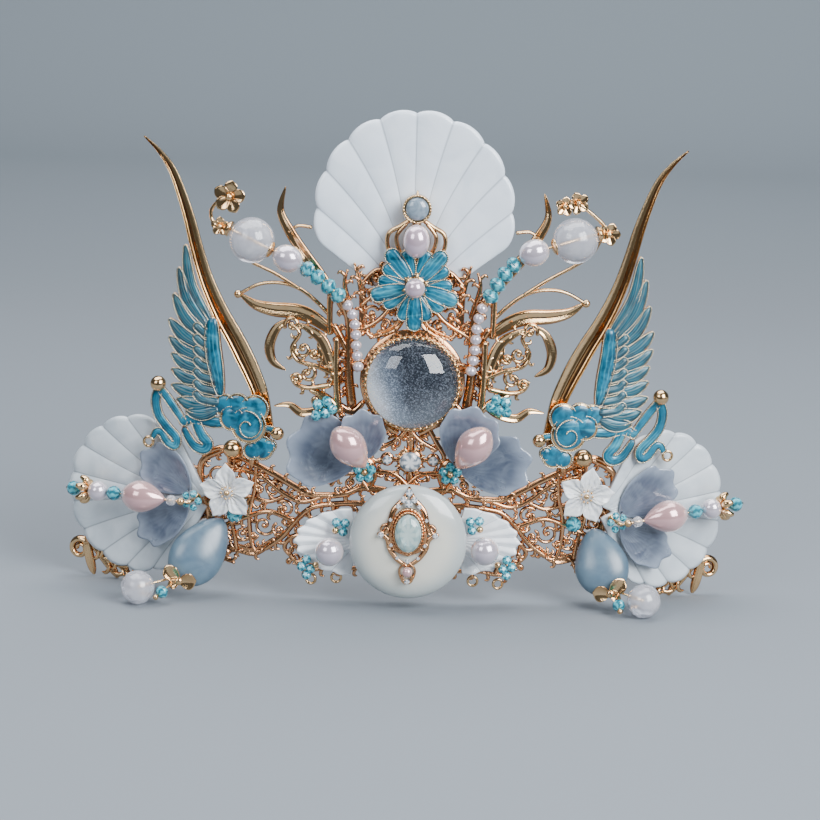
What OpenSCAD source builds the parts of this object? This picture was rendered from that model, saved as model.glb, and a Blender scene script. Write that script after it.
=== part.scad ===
// Hair crown: gold scrollwork with shell fans, enamel wings, a crystal dome and a jade disc.
// Millimetres. X runs across, Y away from the viewer, Z up. The crown stands on z = 0.
// Flat work is drawn on three planes: the centre panel, and each side's panel and tail,
// which turn back round the head. On a plane, u runs outward, z up and d toward the viewer.

/* [Frame] */
// Thickness of the pierced panels
plate_t = 1.4; // [1.2:0.1:1.5]
// Height of the raised scrolls over the panels' back
relief_t = 2.1; // [1.8:0.1:2.2]
// Distance from the middle to the line where a side panel turns back
bend_x = 24; // [23.5:0.1:24.5]
// Angle by which a side panel turns back
side_yaw = 11; // [10:0.5:12]
// Distance from the middle to the line where a tail turns back further
tail_x = 68; // [67:0.5:69]
// Angle of a tail to the centre panel
tail_yaw = 19; // [18:0.5:20]
// Place of the centre panel's back in the depth of the crown
panel_y = -1.5; // [-2:0.1:-1]
// Distance of the middle row from the crown's middle
axis_x = 0.8; // [0:0.1:1.5]
// Clearance between neighbouring pieces
gap = 0.3; // [0.2:0.05:0.4]

/* [Top] */
// Half width of the top fan shell
top_shell_r = 31.2; // [30:0.2:32]
// Half height of the top fan shell's round
top_shell_half_h = 32; // [31:0.2:33]
// Height of the top fan shell's middle
top_shell_z = 123.6; // [122:0.2:125]
// Thickness of the fan shells
shell_t = 1.8; // [1.4:0.1:2]
// Number of lobes round the top fan shell
top_lobes = 10; // [8:2:12]
// Height of the grey cabochon's middle
cabochon_z = 125.7; // [125:0.1:126.5]
// Radius of the grey cabochon
cabochon_r = 3.6; // [3.2:0.1:3.7]
// Height of the oval pearl's middle
top_pearl_z = 116.1; // [115.8:0.1:116.4]
// Height of the enamel flower's middle
flower_z = 101.8; // [101:0.1:102.5]
// Radius of the enamel flower
flower_r = 14; // [13:0.2:14.4]

/* [Middle] */
// Height of the crystal dome's middle
dome_z = 71.4; // [71:0.1:72]
// Radius of the crystal dome
dome_r = 14.2; // [13.8:0.1:14.3]
// Height that the dome stands over its bezel's floor
dome_rise = 9; // [7:0.5:10]
// Outer radius of the milled bezel
bezel_r = 15.5; // [15.2:0.1:15.7]
// Number of teeth round the milled bezel
bezel_teeth = 36; // [32:4:48]
// Height of the gem panel's middle
gem_z = 45.9; // [45.5:0.1:46.5]

/* [Disc] */
// Height of the jade disc's middle
disc_z = 22.1; // [21.8:0.1:22.6]
// Radius of the jade disc
disc_r = 18.3; // [17.8:0.1:18.4]
// Half thickness of the jade disc
disc_half_t = 4.8; // [4.4:0.1:4.9]
// Depth of the jade disc's middle plane before the panel
disc_d = 10.2; // [10:0.1:10.6]
// Inner radius of the hanging loops
loop_bore_r = 1.05; // [1:0.05:1.15]
// Outer radius of the hanging loops
loop_r = 1.95; // [1.8:0.05:2]

/* [Sides] */
// Length of a pink pearl drop of the bead rows
side_drop_len = 15.6; // [15:0.1:15.8]
// Radius of a pink pearl drop of the bead rows
side_drop_r = 5.4; // [5:0.1:5.6]
// Radius of the quartz balls on the branches
quartz_ball_r = 7.1; // [6.8:0.1:7.2]
// Radius of the quartz beads that the crown stands on
quartz_foot_r = 5.3; // [5:0.1:5.4]
// Radius of the seed pearls
seed_r = 1.55; // [1.4:0.05:1.55]
// Radius of the holes through the beads
bead_hole_r = 0.7; // [0.6:0.05:0.75]
// Radius of the wires through the beads
wire_r = 0.35; // [0.3:0.05:0.4]
// Radius of a white shell flower
white_flower_r = 8; // [7.6:0.1:8.2]

/* [Hidden] */

gold = "#e3bd8e";
rose_gold = "#cf9a74";
enamel = "#3a9fb4";
pearl_white = "#eceaf0";
pearl_pink = "#dcc2c6";
shell_white = "#e6eaf0";
teal_glass = "#2f8c9c";
violet = "#9aa6cc";
quartz = "#dfe4ea";
aqua = "#8fa9c0";
jade = "#cfd2c4";

tail_u = (tail_x - bend_x) / cos(side_yaw);
dome_d = relief_t + 0.2;
shell_d = plate_t + 0.5;
petal_d = shell_d + shell_t - 0.2;
row_d = 10.8;
disc_seat_r = 12.4;
disc_seat_wall = 1.4;
end_facets = 6;

// What differs between the two sides, as [left, right]
function pick(s, pair) = s < 0 ? pair[0] : pair[1];

function lerp(a, b, t) = a + (b - a) * t;
function unit(v) = v / norm(v);
function reversed(p) = [for (i = [len(p) - 1:-1:0]) p[i]];

// A smooth curve through a few points
function curve_point(a, b, c, d, t) =
    0.5 * (2 * b + (c - a) * t + (2 * a - 5 * b + 4 * c - d) * t * t + (3 * b - a - 3 * c + d) * t * t * t);
function curve(p, steps = 3) = let (n = len(p)) [
    for (i = [0:n - 2], k = [0:steps - 1])
        curve_point(p[max(i - 1, 0)], p[i], p[i + 1], p[min(i + 2, n - 1)], k / steps),
    p[n - 1]];

// A spiral from radius r0 to r1 round c
function spiral(c, r0, r1, start, turn, steps = 9) = [
    for (k = [0:steps])
        c + lerp(r0, r1, k / steps) * [cos(start + turn * k / steps), sin(start + turn * k / steps)]];

// A band along points, w0 wide at the start and w1 at the end, and belly wider in the middle
module stroke(p, w0, w1, belly = 0) {
    n = len(p) - 1;
    function width(k) = lerp(w0, w1, k / n) + belly * 4 * (k / n) * (1 - k / n);
    function sideways(k) = let (t = unit(p[min(k + 1, n)] - p[max(k - 1, 0)])) 0.5 * width(k) * [-t[1], t[0]];
    polygon(concat([for (k = [0:n]) p[k] + sideways(k)], [for (k = [n:-1:0]) p[k] - sideways(k)]));
    for (k = [0, n]) translate(p[k]) circle(d = width(k), $fn = end_facets);
}

// Rows of [start width, end width, belly, points]
module strokes(rows, slim = 0) {
    for (r = rows) stroke(curve(r[3]), max(r[0] - slim, 0.3), max(r[1] - slim, 0.3), r[2]);
}

// Rows of [x, z, outer radius, start angle, turn], each a wire that curls in to its middle
module spirals(rows, wire = 0.9) {
    for (r = rows) {
        stroke(spiral([r[0], r[1]], r[2], 0.5, r[3], r[4]), wire, wire);
        translate([r[0], r[1]]) circle(r = 0.8, $fn = end_facets);
    }
}

// Children face the viewer: their +Z is toward the viewer and their +Y is up
module facing(x, z, d) { translate([x, -d, z]) rotate([90, 0, 0]) children(); }

// A flat drawing made solid from depth d0 to d1 before its plane
module slab(d0, d1) { facing(0, 0, d0) linear_extrude(d1 - d0) offset(delta = 0.01) children(); }

// The three planes
module center_plane() { translate([0, panel_y, 0]) children(); }
module half_plane(s) { center_plane() mirror([s < 0 ? 1 : 0, 0, 0]) children(); }
module side_plane(s) { half_plane(s) translate([bend_x, 0, 0]) rotate([0, 0, side_yaw]) children(); }
module tail_plane(s) { side_plane(s) translate([tail_u, 0, 0]) rotate([0, 0, tail_yaw - side_yaw]) children(); }

// A place on the side plane, given on the half plane
function on_side(u, z, d) =
    [bend_x + u * cos(side_yaw) + d * sin(side_yaw), u * sin(side_yaw) - d * cos(side_yaw), z];

// A closed solid through rings, each with the same even number of points
module loft(rings) {
    n = len(rings[0]);
    m = len(rings);
    last = (m - 1) * n;
    half = n / 2 - 2;
    polyhedron(
        points = [for (r = rings, p = r) p],
        faces = concat(
            [for (k = [0:m - 2], i = [0:n - 1]) let (j = (i + 1) % n)
                [k * n + i, (k + 1) * n + i, (k + 1) * n + j]],
            [for (k = [0:m - 2], i = [0:n - 1]) let (j = (i + 1) % n)
                [k * n + i, (k + 1) * n + j, k * n + j]],
            [for (i = [0:half]) [i, i + 1, n - 1 - i]],
            [for (i = [0:half]) [i + 1, n - 2 - i, n - 1 - i]],
            [for (i = [0:half]) [last + i, last + n - 1 - i, last + i + 1]],
            [for (i = [0:half]) [last + i + 1, last + n - 1 - i, last + n - 2 - i]]));
}

// A round ring of n points at c, a and b its half axes
function oval_ring(c, a, b, n) = [for (i = [0:n - 1]) c + a * cos(360 * i / n) + b * sin(360 * i / n)];

// Children stand at p with their +Z along dir
module along(p, dir) { translate(p) rotate([0, acos(dir[2] / norm(dir)), atan2(dir[1], dir[0])]) children(); }

// A round wire through points, six-sided
module wire(p, r) {
    n = len(p) - 1;
    function heading(k) = unit(p[min(k + 1, n)] - p[max(k - 1, 0)]);
    loft([for (k = [0:n]) let (t = heading(k), a = unit(cross([0.1, 1, 0.2], t)), b = cross(t, a))
        oval_ring(p[k], r * a, r * b, 6)]);
}

// A round bead on a wire that runs along dir
module bead(p, dir, r) {
    along(p, dir) difference() {
        sphere(r = r, $fn = 32);
        cylinder(r = bead_hole_r, h = 3 * r, center = true, $fn = 24);
    }
}

// A faceted bead on a wire that runs along dir
module crystal(p, dir, r, half_len) {
    along(p, dir) rotate_extrude($fn = 8) polygon([
        [bead_hole_r, -half_len], [0.55 * r, -half_len], [r, -0.25 * half_len], [r, 0.25 * half_len],
        [0.55 * r, half_len], [bead_hole_r, half_len]]);
}

// A faceted stone facing +Z, with n facets round a flat table
module cut_stone(rx, ry, h, n = 8) {
    loft([for (row = [[0.35, 0], [1, 0.4], [1, 0.5], [0.62, 1]])
        oval_ring([0, 0, row[1] * h], [row[0] * rx, 0, 0], [0, row[0] * ry, 0], n)]);
}

// A small unstrung crystal facing +Z
module small_crystal(r) { cut_stone(r, r, 1.7 * r, 8); }

// A pearl drop along +Z from its tip at 0 to its blunt end at len, with a hole of radius hole
module pearl_drop(len, r, hole) {
    steps = 16;
    function half_width(t) = let (q = 1 - t) r * pow(sin(180 * pow(q, 0.8)), 0.85) * (0.9 + 0.1 * q);
    rotate_extrude($fn = 64) polygon(concat(
        [[hole, 0]],
        [for (k = [0:steps]) let (t = 0.03 + 0.94 * k / steps) [max(half_width(t), hole + 0.3), t * len]],
        [[hole, len]]));
}

// Fan shell, facing +Z, its narrow end at the origin and opening toward +Y.
// rx and ry are the half axes of its round outline; bow draws the ribs in like a palm leaf.
module fan_shell(rx, ry, lobes, sweep, bow, relief, dish, thick) {
    per_lobe = 4;
    n = lobes * per_lobe;
    function turn(i) = 90 + sweep / 2 - sweep * i / n;
    function swell(i) = sin(180 * (i % per_lobe) / per_lobe);
    function edge(i) = (1 - 0.04 * (1 - swell(i))) * [rx * cos(turn(i)), ry * sin(turn(i))] + [0, ry];
    // The middle ribs bow the most and the two sides run straight
    function bend(i) = lerp(bow, 1, pow(abs(2 * i / n - 1), 3));
    function spot(i, t, lift) = [
        edge(i)[0] * pow(t, bend(i)), edge(i)[1] * t,
        dish * t * t + lift + relief * t * swell(i)];
    loft([for (t = [0.1, 0.35, 0.6, 0.83, 1]) concat(
        [for (i = [0:n]) spot(i, t, thick)],
        [for (i = [n:-1:0]) let (p = spot(i, t, 0)) [p[0], p[1], dish * t * t]])]);
}

// Pleated fan, facing +Z, its narrow end at the origin and opening toward +X
module pleated_fan(reach, half_h, pleats, half_angle, fold, dish, thick) {
    n = 2 * pleats;
    function spot(i, t, lift) = let (a = half_angle - 2 * half_angle * i / n, up = i % 2) [
        reach * t * cos(a) * (1 - 0.03 * up), half_h * t * sin(a) / sin(half_angle),
        dish * t * t + lift + fold * t * up];
    loft([for (t = [0.12, 0.4, 0.7, 1]) concat(
        [for (i = [0:n]) spot(i, t, thick)],
        [for (i = [n:-1:0]) spot(i, t, 0)])]);
}

// Cupped petal, facing +Z, its narrow end at the origin and its tip toward +X, with a wavy rim
module petal(len, width, cup, thick, rise) {
    n = 8;
    function half_width(t) = 0.5 * width * pow(sin(180 * (0.06 + 0.66 * t)), 0.8);
    function spot(i, t, lift) = let (v = 2 * i / n - 1) [
        len * t * (1 - 0.26 * v * v * t), -v * half_width(t),
        rise * t + cup * v * v * t + lift];
    loft([for (t = [0.04, 0.25, 0.5, 0.75, 1]) concat(
        [for (i = [0:n]) spot(i, t, thick)],
        [for (i = [n:-1:0]) spot(i, t, 0)])]);
}

// Centre panel

// Rows of [start width, end width, belly, points], for one half of the panel
center_strokes = [
    [2.2, 0.5, 1.2, [[15.2, 86], [15, 92], [15.6, 99], [18, 107.6]]],
    [1.6, 0.6, 0.5, [[18.4, 92], [20.3, 98], [21, 102], [20.2, 105.5]]],
    [3.4, 2.6, 0, [[18, 64], [19, 72], [19.2, 80], [19.4, 90], [22.6, 97.6]]],
    [2, 2, 0, [[19.5, 92], [22, 94.4], [23.7, 98.2]]],
    [2.4, 2.6, 0, [[18.5, 78], [21, 83], [23.6, 87.6]]],
    [1.6, 1.6, 0, [[5, 97], [10, 90.5], [18, 85.5]]],
    [1.4, 1.4, 0, [[5.6, 104], [11, 106], [15.4, 102]]],
    [1.4, 1.4, 0, [[5, 100], [11, 98.5], [15.4, 95]]],
    [1.8, 1.2, 1, [[2, 94], [5, 88], [12.5, 84.8]]],
    [1.8, 1.6, 0.8, [[14.5, 64], [18, 61], [23.6, 64.5]]],
    [1.8, 1.6, 0, [[15, 77], [18, 76], [23.6, 72.6]]],
    [2.2, 2, 0.6, [[4, 55], [9, 58], [16, 60]]],
    [1.8, 1.6, 0, [[6, 57], [9, 51.5], [11.4, 47], [10, 41], [12, 36]]],
    [1.6, 1.6, 0, [[0, 56.5], [3.5, 52.5], [8.6, 49.6]]],
    [1.6, 1.6, 0, [[0, 38], [4, 41.4], [10, 42]]],
    [2.4, 2.2, 0, [[7, 36], [14, 36.6], [19, 34.6], [23.7, 33.8]]],
    [2, 2, 0, [[9, 31], [16, 31.6], [23.7, 31]]],
    [1.4, 1.4, 0, [[12, 36], [15.5, 40.5], [21, 40.6], [23.7, 37.4]]],
    [2, 2, 0, [[11, 20.6], [18, 20.4], [23.7, 20.4]]],
    [1.8, 1.2, 0, [[9, 13], [15, 10.6], [20, 10.4], [23.7, 10.4]]],
    [1.6, 1.6, 0, [[23, 10.4], [22.4, 20.4], [23, 31]]]];

// Rows of [x, z, outer radius, start angle, turn]
center_curls = [
    [11.4, 103.2, 2.2, -60, 400], [12.6, 92.4, 2.4, 150, -420], [8.4, 94.6, 2.0, 20, 380],
    [12.6, 98.6, 1.9, 250, -400], [8.2, 88.6, 1.9, 100, 400], [17, 88, 1.8, 60, 380],
    [20.4, 68.4, 2.6, 180, -420], [21, 79.2, 2.1, 200, 400], [17.4, 57.6, 2.4, 90, 420],
    [4.2, 51.4, 2.2, 40, 400], [4.4, 41, 2.1, 10, -400], [17.6, 38.2, 2.1, 200, 400], [18, 27.4, 3.6, 90, 420],
    [17.6, 15.4, 4, 90, -420], [21.2, 59.6, 2.4, 110, -420]];

module center_drawing() {
    intersection() {
        union() {
            for (s = [-1, 1]) mirror([s < 0 ? 1 : 0, 0]) {
                strokes(center_strokes);
                spirals(center_curls);
            }
            translate([axis_x, dome_z]) difference() {
                circle(r = bezel_r + 0.9, $fn = 96);
                circle(r = dome_r - 3.8, $fn = 96);
            }
            translate([axis_x, flower_z]) difference() {
                circle(r = 6.4, $fn = 64);
                circle(r = 3.4, $fn = 64);
            }
            translate([axis_x, disc_z]) difference() {
                circle(r = disc_seat_r + 0.6, $fn = 96);
                circle(r = disc_seat_r - 3.4, $fn = 96);
            }
            translate([axis_x, gem_z]) circle(r = 4.3, $fn = 48);
            for (x = [-7.2, 7.2]) translate([axis_x + x, gem_z + 0.3]) circle(r = 2.2, $fn = 32);
            for (x = [-petal_apex[0], petal_apex[0]]) translate([x, petal_apex[1]]) circle(r = 3.6, $fn = 32);
            stroke([[-14, gem_z - 1.6], [-7, gem_z], [8, gem_z], [14, gem_z - 1.6]], 1.6, 1.6);
            stroke([[axis_x, disc_z + disc_seat_r - 1], [axis_x, dome_z - bezel_r + 1]], 2.6, 2.6);
            stroke([[axis_x, 105], [axis_x, 110.5]], 3, 6);
        }
        translate([-bend_x + 0.15, 0]) square([2 * bend_x - 0.3, 200]);
    }
}

module frame_center() {
    color(rose_gold) center_plane() {
        slab(0, plate_t) center_drawing();
        slab(plate_t / 2, relief_t) for (s = [-1, 1]) mirror([s < 0 ? 1 : 0, 0])
            strokes([for (i = [0, 1, 5, 8, 11]) center_strokes[i]], 0.7);
        // The ring that the jade disc is seated on
        facing(axis_x, disc_z, plate_t / 2) difference() {
            cylinder(r = disc_seat_r, h = disc_d - disc_half_t - gap - plate_t / 2, $fn = 96);
            translate([0, 0, -1]) cylinder(r = disc_seat_r - disc_seat_wall, h = disc_d, $fn = 96);
        }
        // The roots of the violet petals, and the stems of the bead flowers on them
        for (x = [-petal_apex[0], petal_apex[0]]) {
            facing(x, petal_apex[1], plate_t / 2) cylinder(r = 3.3, h = relief_t - plate_t / 2, $fn = 32);
            facing(x, petal_apex[1] - 1, plate_t) cylinder(r = 0.7, h = 2.1, $fn = 24);
        }
        // The post that the enamel flower is seated on
        facing(axis_x, flower_z, plate_t / 2)
            cylinder(r = 3.9, h = flower_d - 0.2 - plate_t / 2, $fn = 48);
    }
}

// Side panels with their tails

side_strokes = [
    [2.2, 1.8, 0.4, [[0.4, 33.8], [6, 33.6], [11.1, 35.7], [18.3, 39.4], [26.6, 43], [34.9, 46.7], [41.1, 43.9]]],
    [1.6, 1.4, 0.4, [[3, 33], [9, 31.2], [15, 33.4], [21, 37.8], [27, 40], [34, 41.4]]],
    [2, 1.8, 0, [[0.4, 31], [6, 29.4], [11, 24.6], [15, 19.5], [20.3, 15.2]]],
    [1.8, 1, 1.6, [[18, 18], [24, 13.6], [31, 14.4], [34.5, 11.6], [31, 9.6]]],
    [2, 2.4, 0.6, [[35, 46], [41.5, 42], [42, 34], [39.6, 26], [36.5, 17], [33, 13]]],
    [1.8, 1.8, 0, [[12, 25], [20, 27.2], [28, 24.4], [37, 20]]],
    [1.6, 1.6, 0, [[14, 33], [20, 30.4], [27, 31.4], [34, 28.6], [40, 29]]],
    [1.6, 1.6, 0, [[24, 41.4], [24.4, 34], [26, 26], [25.4, 18], [24, 14]]],
    [1.6, 1.6, 0, [[33, 45], [32.2, 37], [33, 28], [31, 20], [30, 14.6]]],
    [1.4, 1, 0.6, [[0.4, 20.4], [6, 20.2], [11.8, 19.6], [14.4, 15.6], [10.4, 11.6]]],
    [1.4, 1.4, 0, [[0.4, 10.4], [5, 9.3], [9, 9.8], [12.6, 14]]],
    [1.4, 1.4, 0, [[4.5, 9.6], [6, 15], [5, 21], [7, 29]]],
    [3, 4, 0, [[38, 30], [41.5, 26.2], [tail_u - 1, 23.6]]],
    [2.4, 3, 0, [[25.6, 41.8], [24.6, 47], [21.4, 50], [20.8, 54.4]]]];

side_curls = [
    [18.4, 34.4, 3.0, 150, -430], [21.2, 22.6, 3.4, 200, 430], [28.8, 36.6, 3.5, 60, 430],
    [36.7, 37.4, 3.8, 200, -430], [29.2, 28.2, 3.0, 90, -430], [36.4, 25.4, 2.6, 60, 430],
    [28.2, 19.4, 2.9, 150, 430], [34.2, 16.8, 2.3, 180, -400], [14.4, 28.4, 2.9, 40, 430],
    [9, 34.2, 2.0, 190, -400], [16.4, 21.4, 2.1, 60, -400],
    [22.4, 38.2, 2.2, 180, 400], [9.2, 16.6, 2.9, 90, 420], [3, 25.2, 3.0, 200, 430],
    [2.9, 15.2, 2.9, 0, 430], [29.8, 42.2, 2.0, 200, 400]];

// Keeps what lies past the bend line of the side plane
module past_bend() {
    intersection() {
        union() { children(); }
        translate([0.15, 0]) square([tail_u + 3, 140]);
    }
}

module side_drawing() {
    past_bend() {
        strokes(side_strokes);
        spirals(side_curls);
    }
}

// The arm and the leaf curl, drawn on the tail plane. v is where the curl sits.
function tail_strokes(v) = [
    [4, 4, 0, [[-2, 24.2], [4, 21.6], [12, 19.4], [v - 12, 17], [v - 2, 12]]],
    [2.2, 1.6, 2, [[v - 2.5, 12.5], [v - 6, 8.4], [v - 11.6, 0.83]]],
    [2.2, 1.2, 1.6, [[v - 3, 13], [v - 9.5, 8], [v - 15.8, 2.4]]],
    [2, 1, 1.4, [[v - 4, 13.6], [v - 11, 10.4], [v - 18.4, 4.8]]],
    [2, 1.2, 1.2, [[v - 1, 11.6], [v - 2.4, 5], [v - 3.6, 1]]]];

module tail_drawing(v) {
    strokes(tail_strokes(v));
    stroke(spiral([v + 1.5, 8.6], 3.4, 1, 130, -480, 16), 2, 1.2);
}

module frame_side(s) {
    v = pick(s, [38, 30]);
    color(rose_gold) {
        side_plane(s) {
            slab(0, plate_t) side_drawing();
            slab(plate_t / 2, relief_t) past_bend()
                strokes([for (i = [0, 1, 3, 5, 6]) side_strokes[i]], 0.7);
            // The posts that the white flower and the cloud of the wing are seated on
            facing(white_flower_u, white_flower_z(s), plate_t / 2)
                cylinder(r = 2.2, h = white_flower_d - 0.2 - plate_t / 2, $fn = 32);
            facing(24.6, 47.2, plate_t / 2) cylinder(r = 1.8, h = wing_d - 0.2 - plate_t / 2, $fn = 32);
            // The gold ball on the band
            facing(31, 47.2, 3.6) sphere(r = 3.1, $fn = 48);
        }
        tail_plane(s) {
            slab(0, plate_t) tail_drawing(v);
            // The pads that the side shell is seated on
            for (p = [[2, 22.4], [14, 19.2]]) facing(p[0], p[1], plate_t / 2)
                cylinder(r = 1.6, h = shell_d - 0.2 - plate_t / 2, $fn = 32);
        }
    }
}

// Scroll and leaf group beside the dome

scroll_d = relief_t + 0.2;

scroll_strokes = [
    [1, 0.5, 2.6, [[13.6, 89.4], [17.6, 86.6], [19.8, 81], [18.6, 76], [14.7, 73.6]]],
    [1.3, 1.6, 0, [[12.4, 88], [10.2, 85.4], [12.6, 80.7], [10.5, 76.8], [4.9, 75.5], [-0.6, 73.4]]],
    [0.8, 1.8, 2.2, [[10.6, 88.4], [6.6, 86.6], [2.8, 83.6], [0.4, 78], [-1, 72]]],
    [0.6, 1.8, 1.6, [[4.4, 82.6], [2.6, 78.6], [0.4, 74]]],
    [1.2, 2, 0, [[12.6, 71.7], [11.1, 69.3], [7, 68.4], [0.6, 69.6]]],
    [0.4, 2.2, 1.6, [[17.8, 62], [13.1, 62.6], [9, 60.4], [3.6, 61.6], [-1, 64.6]]],
    [2, 2.6, 0, [[-1.6, 84], [-1.6, 76], [-2, 68], [-2.6, 62]]],
    [1.8, 2, 0.6, [[6, 67.6], [1, 65.6], [-3, 62]]]];

scroll_curls = [
    [12.6, 88, 2.5, -20, 470], [9, 80.6, 2.8, 20, -430], [7.5, 72.9, 3.0, 80, 450],
    [11.2, 71, 1.7, 180, -380], [4.6, 64.6, 1.9, 120, 400], [5.4, 79.4, 1.6, 200, 380]];

module scroll(s) {
    color(gold) side_plane(s) {
        slab(scroll_d, scroll_d + 1.1) {
            strokes(scroll_strokes);
            spirals(scroll_curls, 1.1);
        }
        slab(scroll_d + 0.5, scroll_d + 1.8) strokes([for (i = [0, 2, 5]) scroll_strokes[i]], 0.6);
    }
}

// Leaf spray, small pointed leaf and their stems

spray_strokes = [
    [1.1, 1.4, 0, [[30.2, 96.4], [24, 99.7], [17.3, 100.5], [11.1, 99], [5.5, 95.2], [1, 90.8]]],
    [0.8, 3, 3, [[30, 96.2], [25.3, 93.3], [19.4, 92.1], [11.6, 91.8], [6, 89.9], [1, 86.6]]],
    [0.4, 1.6, 2.6, [[16.1, 130.4], [17.5, 123.2], [14.4, 116.7], [9.5, 109.9], [3.4, 102.6], [1, 98]]],
    [1, 1.2, 0, [[14.6, 116.7], [12, 118.6], [8, 118.4]]],
    [2, 2, 0, [[1.2, 86], [1.3, 92], [1.3, 99]]]];

function carrier_strokes(s) = [s < 0 ?
    [1, 1.2, 0, [[26, 106.2], [19, 103.4], [11.4, 99.2]]] :
    [1, 1.2, 0, [[34.4, 115.8], [31.6, 111.4], [26.4, 108], [18, 103.6], [11, 99.2]]]];

module spray(s) {
    color(gold) side_plane(s) {
        slab(0, plate_t) past_bend() {
            strokes(spray_strokes);
            strokes(carrier_strokes(s));
        }
        slab(plate_t / 2, relief_t) past_bend() strokes([for (i = [1, 2]) spray_strokes[i]], 0.8);
        facing(30.7, 96.2, plate_t / 2) sphere(r = 1.3, $fn = 32);
    }
}

// Bead branch: seed pearls, crystals, an oval pearl and a quartz ball on one wire

// Places of the seed pearls on the half plane, as [x, z]
function seed_places(s) = pick(s, [
    [[16.1, 76], [16.5, 79.4], [16.9, 82.7], [17.1, 86], [17.5, 89.2], [18.3, 92.4], [19.8, 95.2]],
    [[18.9, 75.6], [19.4, 78.9], [19.8, 82.2], [20, 85.5], [20.2, 88.8], [20.7, 92.1], [21.7, 95.3]]]);

// Places of the crystals, the oval pearl and the quartz ball on the side plane, as [u, z]
function crystal_places(s) = pick(s, [
    [[-2.2, 98.4], [1, 101], [4.4, 103.6], [7.8, 105.9]],
    [[-0.8, 99.4], [1.2, 102.9], [3.5, 106.2], [6.2, 109.1]]]);
function oval_pearl_place(s) = pick(s, [[13.6, 109.2], [12.0, 113.1]]);
function quartz_place(s) = pick(s, [[25.2, 114.2], [25, 116.7]]);

oval_pearl_r = 4.2;
oval_pearl_half = 4.8;
crystal_r = 2.3;
crystal_half = 1.75;
seed_d = relief_t + gap + seed_r;
crystal_d = relief_t + gap + crystal_r;
oval_pearl_d = relief_t + gap + oval_pearl_r;
quartz_d = 6;
cap_out = quartz_ball_r + 0.3;
function branch_path(s) = concat(
    [let (p = seed_places(s)[0]) [p[0], -seed_d, p[1] - 2.6]],
    [for (p = seed_places(s)) [p[0], -seed_d, p[1]]],
    [for (p = crystal_places(s)) on_side(p[0], p[1], crystal_d)],
    [let (p = oval_pearl_place(s)) on_side(p[0], p[1], oval_pearl_d)],
    [let (p = quartz_place(s)) on_side(p[0], p[1], quartz_d)]);
function branch_heading(s, k) = let (p = branch_path(s), n = len(p) - 1)
    k < n ? unit(p[k + 1] - p[k - 1]) : unit(p[n] - p[n - 1]);

// The wire runs straight through each of the longer beads
function wire_path(s) = let (p = branch_path(s)) concat(
    [for (k = [0:6]) p[k]],
    [for (k = [7:12], end = [-1, 1]) let (half = k < 12 ? crystal_half : oval_pearl_half)
        p[k] + end * (half + 0.2) * branch_heading(s, k)],
    [for (out = [-quartz_ball_r - 0.1, cap_out + 0.9]) p[13] + out * branch_heading(s, 13)]);

module branch_wire(s) {
    color(gold) half_plane(s) wire(wire_path(s), wire_r);
}

module branch_beads(s) {
    p = branch_path(s);
    color(pearl_white) half_plane(s) {
        for (k = [1:7]) bead(p[k], branch_heading(s, k), seed_r);
        along(p[12], branch_heading(s, 12)) rotate_extrude($fn = 64) polygon(concat(
            [[bead_hole_r, -oval_pearl_half]],
            [for (a = [12:12:168]) [oval_pearl_r * sin(a), -oval_pearl_half * cos(a)]],
            [[bead_hole_r, oval_pearl_half]]));
    }
    color(teal_glass) half_plane(s)
        for (k = [8:11]) crystal(p[k], branch_heading(s, k), crystal_r, crystal_half);
}

module quartz_ball(s) {
    p = branch_path(s);
    color(quartz) half_plane(s) bead(p[13], branch_heading(s, 13), quartz_ball_r);
}

// Gold flower at the end of the branch, with its stem and the cap of the quartz ball
module gold_flower(x, z, r, turn) {
    for (i = [0:4]) translate([x, z]) rotate(turn + 72 * i)
        stroke([[0.8, 0], [0.6 * r, 0], [r, 0]], 1.2, 1, 1.6);
}

module tip_flower(s) {
    q = branch_path(s)[13];
    dir = branch_heading(s, 13);
    color(gold) {
        half_plane(s) along(q + dir * cap_out, dir) difference() {
            cylinder(r1 = 2.6, r2 = 1.4, h = 2, $fn = 32);
            translate([0, 0, -1]) cylinder(r = bead_hole_r, h = 2.1, $fn = 24);
        }
        side_plane(s) slab(quartz_d - 0.5, quartz_d + 0.6) {
            if (s < 0) {
                strokes([[1.3, 1, 0, [[34.9, 117], [37.4, 118.8], [38.2, 122.6], [35.6, 126], [32.6, 127]]]]);
                gold_flower(32.4, 127.2, 5, 100);
                gold_flower(35.2, 118, 2.6, 20);
            } else {
                strokes([[1.2, 1, 0, [[34.4, 117.2], [34.2, 121], [30.6, 124.6], [26, 128]]]]);
                gold_flower(25.4, 128.4, 3.2, 40);
                gold_flower(21.2, 127.4, 2.8, 10);
                gold_flower(35.6, 118.8, 3.2, 70);
                stroke([[21.2, 127.4], [25.4, 128.4]], 1, 1);
            }
        }
        side_plane(s) facing(pick(s, [32.4, 25.4]), pick(s, [127.2, 128.4]), quartz_d + 0.6)
            sphere(r = 1.1, $fn = 32);
    }
}

// Horns: a trough that bends outward to a point

// Rows of [u, z, width]
horn_rows = [
    [20, 52.6, 4.6], [21, 58, 5], [22.6, 65.4, 5.4], [24.8, 70.9, 5.8], [27.6, 76.6, 6.2],
    [31, 82.8, 6], [34.8, 89, 5.6], [38.4, 96, 5.1], [41.3, 103, 4.6], [43.8, 111, 4.2],
    [46, 119, 3.8], [48.7, 127, 3.2], [52, 134.6, 2.5], [56.2, 140, 1.5], [61, 144.2, 0.5]];
horn_d = plate_t + 0.2;

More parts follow.
